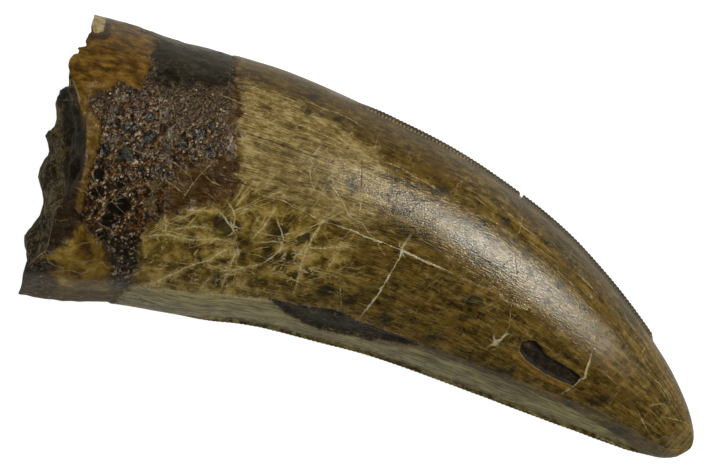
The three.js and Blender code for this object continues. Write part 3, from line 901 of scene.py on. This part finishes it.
def srgb(red, green, blue):
    """A colour given from 0 to 255 as it looks, as the linear values that light works with."""
    parts = np.array([red, green, blue]) / 255
    linear = np.where(parts <= 0.04045, parts / 12.92, ((parts + 0.055) / 1.055) ** 2.4)
    return (*linear.tolist(), 1.0)


def ramp(value, *stops):
    """The colour for a value, from stops of its place and its red, green and blue as they look."""
    made = put(value.tree, "ShaderNodeValToRGB", {"Fac": value})
    band = made.color_ramp
    while len(band.elements) < len(stops):
        band.elements.new(0.5)
    for element, (place, *colour) in zip(band.elements, stops):
        element.position = place
        element.color = srgb(*colour)
    return Shade(made.outputs["Color"])


def paint(below, colour, mask):
    """colour laid over below where mask is 1."""
    sockets = {0: mask, 6: below, 7: colour}
    return Shade(put(mask.tree, "ShaderNodeMix", sockets, data_type="RGBA", blend_type="MIX").outputs[2])


def stain(below, mask, value, *stops):
    """The ramp of a value laid over below where mask is 1."""
    return paint(below, ramp(value, *stops), mask)


def marked(tree, name, output="Fac"):
    """Reads one of the mesh's marks."""
    return Shade(put(tree, "ShaderNodeAttribute", attribute_name=name).outputs[output])


def squeezed(place, unit, along, turn):
    """A place turned about its third axis, then measured in units, its first axis squeezed by along."""
    sockets = {"Vector": place, "Scale": (unit / along, unit, unit), "Rotation": (0, 0, turn)}
    return Shade(put(place.tree, "ShaderNodeMapping", sockets, vector_type="TEXTURE").outputs[0])


def millimetres(tree, along=1.0, turn=0.0):
    """Object coordinates in millimetres, turned about Z, then squeezed along X."""
    return squeezed(Shade(put(tree, "ShaderNodeTexCoord").outputs["Object"]), MM, along, turn)


def fibres(tree, along, turn=0.0):
    """Straightened coordinates in millimetres, turned about the third axis, then squeezed on the first."""
    return squeezed(marked(tree, "straight", "Vector"), 1.0, along, turn)


def noise(place, scale, detail=3.0, roughness=0.55):
    """Noise, from about 0.3 to 0.7, with waves of about 1 / scale. Detail counts its finer layers, and
    roughness is their share."""
    sockets = {"Vector": place, "Scale": scale, "Detail": detail, "Roughness": roughness}
    return Shade(put(place.tree, "ShaderNodeTexNoise", sockets).outputs[0])


def new_group(name, inputs):
    """A shader node group that gives a mask, and its inner inputs, given with the values they start with."""
    tree = bpy.data.node_groups.new(name, "ShaderNodeTree")
    for label, value in inputs.items():
        kind = "NodeSocketVector" if isinstance(value, tuple) else "NodeSocketFloat"
        tree.interface.new_socket(label, in_out="INPUT", socket_type=kind).default_value = value
    tree.interface.new_socket("Mask", in_out="OUTPUT", socket_type="NodeSocketFloat")
    given = tree.nodes.new("NodeGroupInput").outputs
    return tree, {label: Shade(given[label]) for label in inputs}


# A patch's mask: its distance inside, made ragged by noise, over a soft width.
ragged_patch, given = new_group("ragged_patch", {"Distance": 0.0, "Rag": 0.5, "Grain": 0.8, "Softness": 0.1})
rag = (noise(millimetres(ragged_patch), given["Grain"], 4.0, 0.6) - 0.5) * (given["Rag"] * 4.0)
patch_mask = limit(given["Distance"] + rag, given["Softness"] * -1.0, given["Softness"])
put(ragged_patch, "NodeGroupOutput", {"Mask": patch_mask})

# A crack's line: the place where the sided distance, wobbled by noise, is under half the width.
crack_inputs = {"Crack": (0.0, 0.0, 0.0), "Width": 0.1, "Wobble": 0.1, "Breaks": 0.5}
crack_line, given = new_group("crack_line", crack_inputs)
sided, plain, strength = map(Shade, put(crack_line, "ShaderNodeSeparateXYZ", {0: given["Crack"]}).outputs)
place = millimetres(crack_line)
wobble = (noise(place, 1.7, 3.0, 0.6) - 0.5) * (given["Wobble"] * 4.0)
breadth = limit(noise(place, 0.9, 2.0), 0.35, 0.65, 0.5, 1.5) * given["Width"]
line_mask = ~limit(abs(sided + wobble), breadth * 0.35, breadth)
close_by = ~limit(plain, 0.45, 0.7)
unbroken = ~(given["Breaks"] * ~limit(noise(place, 2.6, 3.0, 0.7), 0.4, 0.5))
put(crack_line, "NodeGroupOutput", {"Mask": line_mask * close_by * (unbroken * strength)})


def patch(tree, name, rag=0.4, grain=0.8, softness=0.12, grow=0.0):
    """The mask of one of the mesh's patches. Its edge wanders by rag at waves of 1 / grain, fades over twice
    the softness, and is grown outwards by grow, all in millimetres."""
    sockets = {"Distance": marked(tree, name) + grow, "Rag": rag, "Grain": grain, "Softness": softness}
    return Shade(put(tree, "ShaderNodeGroup", sockets, node_tree=ragged_patch).outputs["Mask"])


def cracks(tree, name, width, wobble=0.08, breaks=0.5):
    """The mask of one family of cracks: lines of about that width, which wander by wobble, in millimetres,
    and which are interrupted in places as strongly as breaks says."""
    sockets = {"Crack": marked(tree, name, "Vector"), "Width": width, "Wobble": wobble, "Breaks": breaks}
    return Shade(put(tree, "ShaderNodeGroup", sockets, node_tree=crack_line).outputs["Mask"])


def network(place, scale, width, wobble):
    """A net of thin lines: where a point, moved a little by noise, is nearly as close to its second cell as
    to its first."""
    waves = {"Vector": place, "Scale": scale * 1.7, "Detail": 2.0}
    shift = Shade(put(place.tree, "ShaderNodeTexNoise", waves).outputs["Color"])
    sum_parts = {0: shift, 1: (wobble / scale,) * 3, 2: place}
    moved = Shade(put(place.tree, "ShaderNodeVectorMath", sum_parts, operation="MULTIPLY_ADD").outputs[0])
    net = {"Vector": moved, "Scale": scale}
    cells = put(place.tree, "ShaderNodeTexVoronoi", net, feature="DISTANCE_TO_EDGE")
    return ~limit(Shade(cells.outputs["Distance"]), width * 0.3, width)


def straws(tree, turn, scale, width, keep):
    """Long thin scratches in one direction: where stretched noise crosses its middle value, in patches."""
    place = millimetres(tree, 0.09, turn)
    lines = ~limit(abs(noise(place, scale, 2.0) - 0.5), width * 0.3, width)
    return lines * limit(noise(place, scale * 0.8, 1.0), keep, keep + 0.05)


def break_up(mark_name, texture, low, high, share):
    """Blots of one of the mesh's marks, with edges broken up by a texture: mark + share x texture, from low
    to high."""
    return limit(marked(texture.tree, mark_name) + texture * share, low, high)


def raised(height):
    """The normal of a surface raised by height, in millimetres."""
    sockets = {"Height": height, "Distance": MM, "Strength": 1.0}
    return Shade(put(height.tree, "ShaderNodeBump", sockets).outputs["Normal"])


def new_material(name, roughness):
    """A material with its Principled shader, and its tree."""
    material = bpy.data.materials.new(name)
    material.use_nodes = True
    tree = material.node_tree
    shader = tree.nodes["Principled BSDF"]
    shader.inputs["Roughness"].default_value = roughness
    return material, tree, shader


def feed(node, results):
    """Links each result to the node's input of that name."""
    for name, result in results.items():
        node.id_data.links.new(result.socket, node.inputs[name])


WARM_SHINE = (1, 0.97, 0.88, 1)  # what the polished mineral does to the light that it reflects

enamel, tree, shader = new_material("polished_fossil_enamel", 0.26)
shader.inputs["Specular Tint"].default_value = WARM_SHINE
place = millimetres(tree)
on_near = marked(tree, "near_side")
upper_side = limit(marked(tree, "upwards"), -0.3, -0.05)
mottle = noise(place, 1.1, 5.0, 0.7)
grit = noise(place, 4.2, 3.0, 0.6)

# Crown: fine fibres along it over broad streaks, and stains
broad = noise(fibres(tree, 0.3), 0.9, 5.0, 0.65)
fine = noise(fibres(tree, 0.1), 8.0, 2.0, 0.55)
streaks = broad * 0.35 + fine * 0.35 + mottle * 0.3
crown = ramp(streaks, (0.41, 40, 30, 10), (0.465, 78, 61, 22), (0.51, 106, 85, 34), (0.58, 152, 126, 66))
clouds = limit(noise(fibres(tree, 0.6), 0.22, 4.0, 0.6), 0.46, 0.58)
crown = stain(crown, clouds * 0.6, streaks, (0.4, 62, 45, 12), (0.5, 118, 91, 31), (0.6, 160, 127, 56))
flecks = limit(noise(fibres(tree, 0.3), 3.4, 4.0, 0.7), 0.56, 0.66)
crown = paint(crown, srgb(36, 29, 15), flecks * 0.4)
# Tan: a paler, greyer stain, partly painted sheen where the highlight runs over it
tan_and_sheen = patch(tree, "tan_and_sheen", 0.9, 0.45, 1.0)
crown = stain(crown, tan_and_sheen * 0.85, streaks, (0.4, 90, 72, 36), (0.5, 150, 127, 74), (0.58, 208, 185, 126))
golden = patch(tree, "golden", 0.8, 0.5, 0.9)
crown = stain(crown, golden * 0.8, streaks, (0.41, 48, 34, 9), (0.5, 86, 66, 22), (0.59, 116, 91, 38))
crazed = patch(tree, "crazed", 1.0, 0.5, 1.5)
crazed_grain = noise(place, 0.5, 5.0, 0.62) * 0.65 + streaks * 0.35
crown = stain(crown, crazed * 0.9, crazed_grain, (0.41, 60, 48, 19), (0.47, 106, 86, 33),
              (0.52, 142, 117, 50), (0.6, 198, 170, 96))
curls = network(place, 0.55, 0.07, 0.9) * limit(mottle, 0.47, 0.56) * crazed
crown = paint(crown, srgb(190, 164, 96), curls * 0.55)
gold_blots = break_up("gold_blots", noise(place, 0.8, 4.0, 0.65), 1.4, 2.4, 3.0)
crown = paint(crown, srgb(112, 86, 34), gold_blots * 0.5)
dark_blots = break_up("dark_blots", mottle, 2.2, 2.9, 4.0)
crown = paint(crown, srgb(26, 23, 16), dark_blots * 0.8)

# Root: rough dark dentine with smooth dark cells between broken ochre veins, and glints
root_mix = noise(place, 1.5, 5.0, 0.7) * 0.7 + grit * 0.3
root = ramp(root_mix, (0.41, 12, 6, 2), (0.48, 42, 22, 8), (0.54, 80, 49, 19), (0.61, 146, 106, 52))
# Greyer and lighter root: partly its own grey, partly painted sheen where the highlight crosses the root
grey_root_sheen = patch(tree, "grey_root_sheen", 1.2, 0.6, 1.0)
root = stain(root, grey_root_sheen * 0.7, grit, (0.4, 26, 19, 11), (0.5, 68, 52, 32), (0.62, 138, 112, 74))
speckled = break_up("speckled", noise(place, 0.9, 4.0, 0.65), 0.9, 2.2, 3.0)
cell_place = marked(tree, "dark_cells") + (mottle - 0.5) * 3.0
dark_cells = limit(cell_place, 0.0, 0.45)
root = paint(root, srgb(10, 6, 3), dark_cells * 0.95)
rings = ~limit(abs(cell_place + 0.25), 0.15, 0.75)
margin = patch(tree, "brown_margin", 1.0, 0.6, 0.8)
root = stain(root, margin * 0.8, streaks, (0.4, 44, 27, 11), (0.5, 88, 62, 29), (0.6, 132, 104, 58))
olive = break_up("olive_spots", mottle, 2.0, 2.8, 4.0)
root = stain(root, olive * 0.8, grit, (0.4, 70, 58, 32), (0.6, 142, 122, 78))
umber = patch(tree, "umber_wall", 0.4, 0.8, 0.3)
root = stain(root, umber, streaks, (0.4, 24, 14, 7), (0.6, 74, 50, 22))
black = patch(tree, "black_band", 1.1, 0.7, 0.9)
root = stain(root, black * 0.92, streaks, (0.42, 8, 7, 3), (0.5, 27, 24, 11), (0.6, 64, 58, 30))
dark_foot = patch(tree, "dark_foot", 0.9, 0.8, 0.3)
foot_grain = noise(place, 2.2, 2.0, 0.5)
# The palest grains of the dark foot are painted glints of light
root = stain(root, dark_foot * 0.9, foot_grain, (0.4, 8, 6, 3), (0.52, 28, 21, 11), (0.6, 70, 56, 32),
             (0.68, 168, 156, 122))
amber_corner = patch(tree, "amber_corner", 0.8, 0.7, 0.4)
amber_grain = noise(fibres(tree, 0.35), 1.6, 5.0, 0.65)
root = stain(root, amber_corner, amber_grain, (0.36, 70, 44, 10), (0.46, 104, 72, 22), (0.56, 132, 98, 36),
             (0.68, 160, 126, 58))
amber_foot = patch(tree, "amber_foot", 0.8, 0.7, 0.5)
amber_cloud = noise(place, 0.5, 4.0, 0.6)
root = stain(root, amber_foot, amber_cloud * 0.7 + streaks * 0.3, (0.38, 70, 48, 9), (0.47, 126, 96, 26),
             (0.55, 158, 126, 42), (0.64, 206, 178, 96))
root = paint(root, srgb(62, 38, 14), limit(amber_cloud, 0.5, 0.62) * amber_corner * 0.6)
base_edge = patch(tree, "base_edge", 0.4, 0.7, 0.5)
root = stain(root, base_edge * 0.8, streaks, (0.42, 46, 37, 18), (0.5, 88, 72, 38), (0.6, 128, 108, 66))
# Painted shadow in the hollow at the base's lower corner
root = paint(root, srgb(14, 10, 6), patch(tree, "pocket_shadow", 0.4, 0.8, 0.3) * 0.9)
root = paint(root, srgb(54, 34, 14), patch(tree, "chip", 0.3, 1.0, 0.2, 0.9) * upper_side * 0.8)
chip = patch(tree, "chip", 0.2, 1.0, 0.12) * upper_side
root = stain(root, chip, mottle, (0.4, 150, 122, 58), (0.56, 206, 190, 132))
ochre = patch(tree, "ochre_rim", 0.35, 0.9, 0.25)
root = stain(root, ochre, mottle, (0.36, 82, 58, 16), (0.64, 146, 112, 44))
bare = ~(ochre | black | amber_corner | margin | amber_foot | umber)
strokes = noise(millimetres(tree, 0.4, math.radians(70)), 3.0, 2.0, 0.55)
veins = limit(strokes, 0.5, 0.58) * rings * bare
root = stain(root, veins * 0.85, mottle, (0.42, 124, 76, 28), (0.54, 180, 136, 68), (0.64, 216, 190, 130))
shine_lines = ~limit(abs(strokes - 0.56), 0.012, 0.04)
clusters = rings | speckled * 0.55
glints = shine_lines * limit(noise(place, 2.2, 1.0, 0.5), 0.5, 0.58) * clusters * bare
root = paint(root, srgb(246, 236, 206), glints)

# Crown and root together, with a ragged border
stripped = patch(tree, "stripped", 0.8, 1.0, 0.4)
crown_only = ~stripped
skin_colour = paint(crown, root, stripped)

# Flank: olive grey, partly painted reflection of the board, with fine dark dashes, ragged where it turns
# under
flank_end = break_up("upwards", mottle, 0.85, 1.35, 2.0)
flank = patch(tree, "flank", 0.15, 0.8, 0.15) * flank_end
dashes = noise(fibres(tree, 0.1), 4.2, 2.0, 0.5)
flank_colour_and_reflection = ramp(dashes, (0.38, 110, 103, 54), (0.45, 176, 168, 102), (0.54, 202, 195, 128),
                    (0.64, 222, 216, 158))
flank_stains = limit(noise(fibres(tree, 0.3), 0.5, 4.0, 0.6), 0.5, 0.6)
flank_colour_and_reflection = paint(flank_colour_and_reflection, srgb(74, 64, 32), flank_stains * 0.5)
skin_colour = paint(skin_colour, flank_colour_and_reflection, flank * crown_only * 0.85)

# Front edge: painted shade along it, a painted reflection on the tip's edge, and a pale painted sheen on a
# ledge
front_shade = patch(tree, "front_shade", 0.9, 0.5, 0.8)
skin_colour = stain(skin_colour, front_shade * 0.6, fine, (0.4, 36, 30, 20), (0.62, 92, 80, 60))
# A darker strip along the front edge, partly grey stain and partly painted shade
skin_colour = paint(skin_colour, srgb(46, 37, 22), patch(tree, "front_strip_shade", 0.3, 0.7, 0.6) * 0.5)
# Painted reflection: paler grey along the tip's front edge
skin_colour = paint(skin_colour, srgb(84, 76, 54), patch(tree, "tip_edge_reflection", 0.4, 0.8, 0.6) * 0.35)
# Painted sheen on the worn ledge at the start of the front keel, as on a polished edge
front_ledge_sheen = patch(tree, "front_ledge_sheen", 0.25, 1.0, 0.2) * upper_side
skin_colour = paint(skin_colour, srgb(128, 121, 98), front_ledge_sheen * 0.85)

# Wear stripes on the tip
stripe_at = marked(tree, "tip_stripes")
wave = reckon("SINE", stripe_at * (2 * math.pi / STRIPE_SPACING))
stripes = limit(wave, -0.4, 0.8) * limit(stripe_at, -0.4, 0.0) * ~limit(stripe_at, 1.7, 2.1) * on_near
skin_colour = paint(skin_colour, srgb(140, 120, 58), stripes * 0.6)

# Scratches and cracks
steep_straws, level_straws, upright_straws = [
    straws(tree, math.radians(angle), 1.0, 0.02, 0.54) for angle in (48, 8, 76)
]
straw_strength = crazed * 0.6 + tan_and_sheen * 0.25 + 0.16
straw_lines = (steep_straws | level_straws | upright_straws) * straw_strength * crown_only
skin_colour = paint(skin_colour, srgb(216, 196, 138), straw_lines)
dark_lines = cracks(tree, "cracks_dark", 0.08, 0.08, 0.4)
skin_colour = paint(skin_colour, srgb(16, 13, 9), dark_lines)
amber_lines = cracks(tree, "cracks_amber", 0.13, 0.1, 0.3)
skin_colour = stain(skin_colour, amber_lines, grit, (0.42, 74, 52, 22), (0.5, 122, 94, 44),
                    (0.58, 180, 156, 96))
thin_lines = cracks(tree, "cracks_along", 0.085) | cracks(tree, "cracks_across", 0.085)
thin_lines = thin_lines | cracks(tree, "cracks_root", 0.075, 0.03, 0.6) * 0.8
skin_colour = stain(skin_colour, thin_lines, grit, (0.42, 156, 132, 68), (0.58, 218, 200, 146))
crazed_glow = cracks(tree, "cracks_crazed", 0.5, 0.15, 0.6) * 0.4
crazed_lines = cracks(tree, "cracks_crazed", 0.13, 0.1, 0.35) | crazed_glow
skin_colour = stain(skin_colour, crazed_lines, grit, (0.42, 196, 166, 86), (0.56, 244, 228, 168))
bold_lines = cracks(tree, "cracks_bold", 0.14, 0.1, 0.25)
skin_colour = stain(skin_colour, bold_lines, mottle, (0.42, 206, 184, 118), (0.56, 220, 216, 184))
skin_colour = paint(skin_colour, srgb(176, 150, 100), cracks(tree, "cracks_rim", 0.09, 0.08, 0.4))

# Flake scars
lip = patch(tree, "pit_lip", 0.1, 1.4, 0.15) * on_near
skin_colour = stain(skin_colour, lip * 0.9, streaks, (0.42, 92, 66, 26), (0.58, 160, 124, 62))
pit_edge = patch(tree, "pit", 0.05, 2.0, 0.06, 0.09) * lip
skin_colour = paint(skin_colour, srgb(196, 168, 104), pit_edge * 0.8)
pit = patch(tree, "pit", 0.06, 2.0, 0.06) * on_near
skin_colour = stain(skin_colour, pit, root_mix, (0.42, 10, 7, 4), (0.52, 28, 19, 9), (0.6, 78, 56, 30))
scar_fringe = patch(tree, "scar", 0.3, 1.2, 0.15, 0.35) * on_near * limit(noise(place, 0.8, 3.0), 0.46, 0.54)
skin_colour = stain(skin_colour, scar_fringe * 0.85, grit, (0.42, 96, 70, 26), (0.6, 188, 156, 88))
scar = patch(tree, "scar", 0.3, 1.3, 0.1) * on_near
scar_grain = streaks * 0.6 + grit * 0.4
skin_colour = stain(skin_colour, scar, scar_grain, (0.43, 8, 7, 3), (0.49, 26, 22, 11), (0.53, 60, 50, 26),
                    (0.59, 146, 128, 84))

# Denticles: a dark edge, painted shade in the gaps between denticles, and small painted highlights on the
# near face
skin_colour = paint(skin_colour, srgb(38, 29, 15), marked(tree, "keels") * 0.75)
# Painted shade in the gaps between the denticles
skin_colour = paint(skin_colour, srgb(14, 11, 6), marked(tree, "denticle_gap_shade") * 0.9)
# Painted highlights: a pale dot on the near face of each front denticle
painted_bead_highlights = marked(tree, "denticle_highlights") * limit(mottle, 0.4, 0.6, 0.35, 0.9)
skin_colour = paint(skin_colour, srgb(222, 214, 188), painted_bead_highlights)

# Dullness: more in the scars and dark blots and on the base's edge, and on the root between its glints
smooth_foot = amber_foot | base_edge | ochre | margin
rough_share = ~(amber_corner * 0.92) * ~(black * 0.75) * ~(smooth_foot * 0.8) * stripped
dullness = limit(noise(place, 1.6, 4.0, 0.65), 0.35, 0.65, 0.13, 0.21) + (scar | dark_blots) * 0.12
pit_and_edge = patch(tree, "pit", 0.06, 2.0, 0.06, 0.15) * on_near
root_dullness = limit(clusters, 0.0, 0.7, 0.06, -0.03) * rough_share
dullness = dullness + pit_and_edge * 0.55 + root_dullness
dullness = dullness - dark_cells * rough_share * 0.04 + base_edge * stripped * 0.3

# Relief: fine scratches and grain, cracks, and the rough root
scratches = noise(fibres(tree, 0.25, math.radians(8)), 6.0, 2.0, 0.5)
grain = noise(place, 4.5, 2.0, 0.6)
root_swell = noise(millimetres(tree, 0.6, math.radians(70)), 1.3, 2.0, 0.5)
root_swell = root_swell * (clusters * 0.6 + 0.35) * ~(dark_cells * 0.8)
height = scratches * 0.032 + grain * 0.022 + (root_swell * 0.6 + grit * 0.08) * rough_share
height = height - dark_lines * 0.06 + (thin_lines | bold_lines) * 0.02
height = height + scar_grain * scar * 0.5 + root_mix * pit * 0.15
feed(shader, {"Base Color": skin_colour, "Roughness": dullness, "Normal": raised(height)})

# The broken face's finish
# Bare dentine and the mineral that fills the pulp: dark, rough and a little glossy, with a grey ridge partly
# painted lighter as if lit, an umber wall up to the near rim, painted shade in a hollow and a few yellow
# crystals.
broken, tree, shader = new_material("broken_dentine", 0.5)
shader.inputs["Specular Tint"].default_value = WARM_SHINE
shader.inputs["Specular IOR Level"].default_value = 0.25
place = millimetres(tree)
lumpy = noise(place, 1.1, 5.0, 0.7)
grit = noise(place, 4.0, 3.0, 0.6)
grain = lumpy * 0.6 + grit * 0.4
face_colour = ramp(grain, (0.45, 8, 6, 3), (0.485, 44, 35, 17), (0.52, 92, 78, 40), (0.57, 190, 170, 108))
# A grey ridge, partly its own colour and partly painted light
lit_ridge = patch(tree, "lit_break_ridge", 0.7, 0.8, 0.4) * 0.85
face_colour = stain(face_colour, lit_ridge, grain, (0.43, 74, 62, 38), (0.49, 146, 132, 94),
                    (0.57, 206, 192, 152))
wall = patch(tree, "umber_wall", 0.5, 0.8, 0.3) * 0.95
face_colour = stain(face_colour, wall, grain, (0.42, 20, 11, 4), (0.5, 52, 32, 13), (0.6, 100, 70, 32))
black_wall = patch(tree, "black_wall", 0.5, 0.8, 0.3) * 0.9
face_colour = stain(face_colour, black_wall, grain, (0.44, 10, 8, 5), (0.5, 34, 29, 17), (0.57, 104, 98, 66))
# Painted shade in the hollow at the top of the break
face_colour = paint(face_colour, srgb(10, 8, 5), patch(tree, "hollow_shade", 0.3, 0.9, 0.15) * 0.9)
face_colour = paint(face_colour, srgb(164, 134, 40), break_up("yellow_spots", grit, 2.1, 2.9, 4.0))
face_colour = paint(face_colour, srgb(112, 84, 30), patch(tree, "ochre_rim", 0.3, 0.9, 0.2))
face_colour = paint(face_colour, srgb(182, 156, 110), cracks(tree, "cracks_rim", 0.09, 0.08, 0.4))
face_dullness = limit(grain, 0.4, 0.6, 0.32, 0.55)
face_normal = raised(lumpy * 0.6 + grit * 0.12)
feed(shader, {"Base Color": face_colour, "Roughness": face_dullness, "Normal": face_normal})

mesh.materials.append(enamel)
mesh.materials.append(broken)
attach(tooth, "root")
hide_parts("tooth")

# The surface that it lies on
# A plain white board, large enough for every view, that glows so that it stays white. What lies on it
# receives a fainter and warmer glow.
BOARD_HALF = 2.0
BOARD_GREY = (0.35, 0.35, 0.35, 1)
BOARD_BOUNCE = 0.3
WHITE = (1, 1, 1, 1)
WARM_WHITE = (1, 0.93, 0.76, 1)
board_mesh = bpy.data.meshes.new("board")
board_corners = np.array([(-1, -1, 0), (1, -1, 0), (1, 1, 0), (-1, 1, 0)]) * BOARD_HALF
board_mesh.from_pydata(board_corners.tolist(), [], [(0, 1, 2, 3)])
board = bpy.data.objects.new("board", board_mesh)
bpy.context.scene.collection.objects.link(board)
white, tree, shader = new_material("white_board", 0.9)
shader.inputs["Base Color"].default_value = BOARD_GREY
shader.inputs["Specular IOR Level"].default_value = 0.0
seen_directly = Shade(put(tree, "ShaderNodeLightPath").outputs["Is Camera Ray"])
board_glow = limit(seen_directly, 0.0, 1.0, BOARD_BOUNCE, 1.0)
feed(shader, {"Emission Color": paint(WARM_WHITE, WHITE, seen_directly), "Emission Strength": board_glow})
board_mesh.materials.append(white)

# Light
# One long soft box overhead, towards the front edge and the tip, in a room that is pale low down and dark
# overhead.
LIGHT_TARGET = np.array([0.004, 0.002, 0.012])
LIGHT_DISTANCE = 0.6
LIGHT_BEARING = math.radians(46)
LIGHT_TILT = math.radians(39)
LIGHT_SIZE = (0.27, 0.14)
LIGHT_BRIGHTNESS = 23.5
LIGHT_COLOUR = (1, 0.99, 0.95)
WALL_BRIGHTNESS = 0.15
CEILING_BRIGHTNESS = 0.05
WALL_TOP = 0.25  # as the sine of the height above the horizon
CEILING_EDGE = 0.7

soft_box = bpy.data.lights.new("soft_box", "AREA")
soft_box.shape = "ELLIPSE"
soft_box.color = LIGHT_COLOUR
soft_box.size, soft_box.size_y = LIGHT_SIZE
soft_box.energy = LIGHT_BRIGHTNESS * math.pi * LIGHT_SIZE[0] * LIGHT_SIZE[1] * math.pi / 4
box_object = bpy.data.objects.new("soft_box", soft_box)
box_object.location = LIGHT_TARGET + LIGHT_DISTANCE * np.array([
    math.sin(LIGHT_TILT) * math.cos(LIGHT_BEARING),
    math.sin(LIGHT_TILT) * math.sin(LIGHT_BEARING),
    math.cos(LIGHT_TILT),
])
box_object.rotation_euler = (LIGHT_TILT, 0, LIGHT_BEARING + math.pi / 2)
box_object.visible_camera = False
bpy.context.scene.collection.objects.link(box_object)

room = bpy.data.worlds.new("pale_room")
room.use_nodes = True
tree = room.node_tree
direction = Shade(put(tree, "ShaderNodeTexCoord").outputs["Generated"])
upwards = Shade(put(tree, "ShaderNodeSeparateXYZ", {0: direction}).outputs["Z"])
seen_directly = Shade(put(tree, "ShaderNodeLightPath").outputs["Is Camera Ray"])
glow = limit(upwards, WALL_TOP, CEILING_EDGE, WALL_BRIGHTNESS, CEILING_BRIGHTNESS) | seen_directly
feed(tree.nodes["Background"], {"Color": paint(WARM_WHITE, WHITE, seen_directly), "Strength": glow})
bpy.context.scene.world = room
bpy.context.scene.view_settings.view_transform = "Standard"

# Camera
# Straight above, far off with a long lens, so that the picture is 88.5 mm wide at the middle of the tooth.
# It is turned, so that the base is at the upper left and the tip at the lower right.
CAMERA_DISTANCE = 2.2
FOCUS_HEIGHT = 0.011
PICTURE_WIDTH = 2 * PICTURE_MIDDLE[0] * PICTURE_MM * MM
SENSOR_WIDTH = 36
lens = bpy.data.cameras.new("view_from_above")
lens.sensor_width = SENSOR_WIDTH
lens.lens = SENSOR_WIDTH * CAMERA_DISTANCE / PICTURE_WIDTH
camera = bpy.data.objects.new("view_from_above", lens)
right = (PICTURE_MIDDLE[0] - PICTURE_ORIGIN[0]) * PICTURE_MM * MM
below = (PICTURE_MIDDLE[1] - PICTURE_ORIGIN[1]) * PICTURE_MM * MM
camera.location = (
    right * math.cos(PICTURE_TURN) + below * math.sin(PICTURE_TURN),
    right * math.sin(PICTURE_TURN) - below * math.cos(PICTURE_TURN),
    FOCUS_HEIGHT + CAMERA_DISTANCE,
)
camera.rotation_euler = (0, 0, PICTURE_TURN)
bpy.context.scene.collection.objects.link(camera)
bpy.context.scene.camera = camera
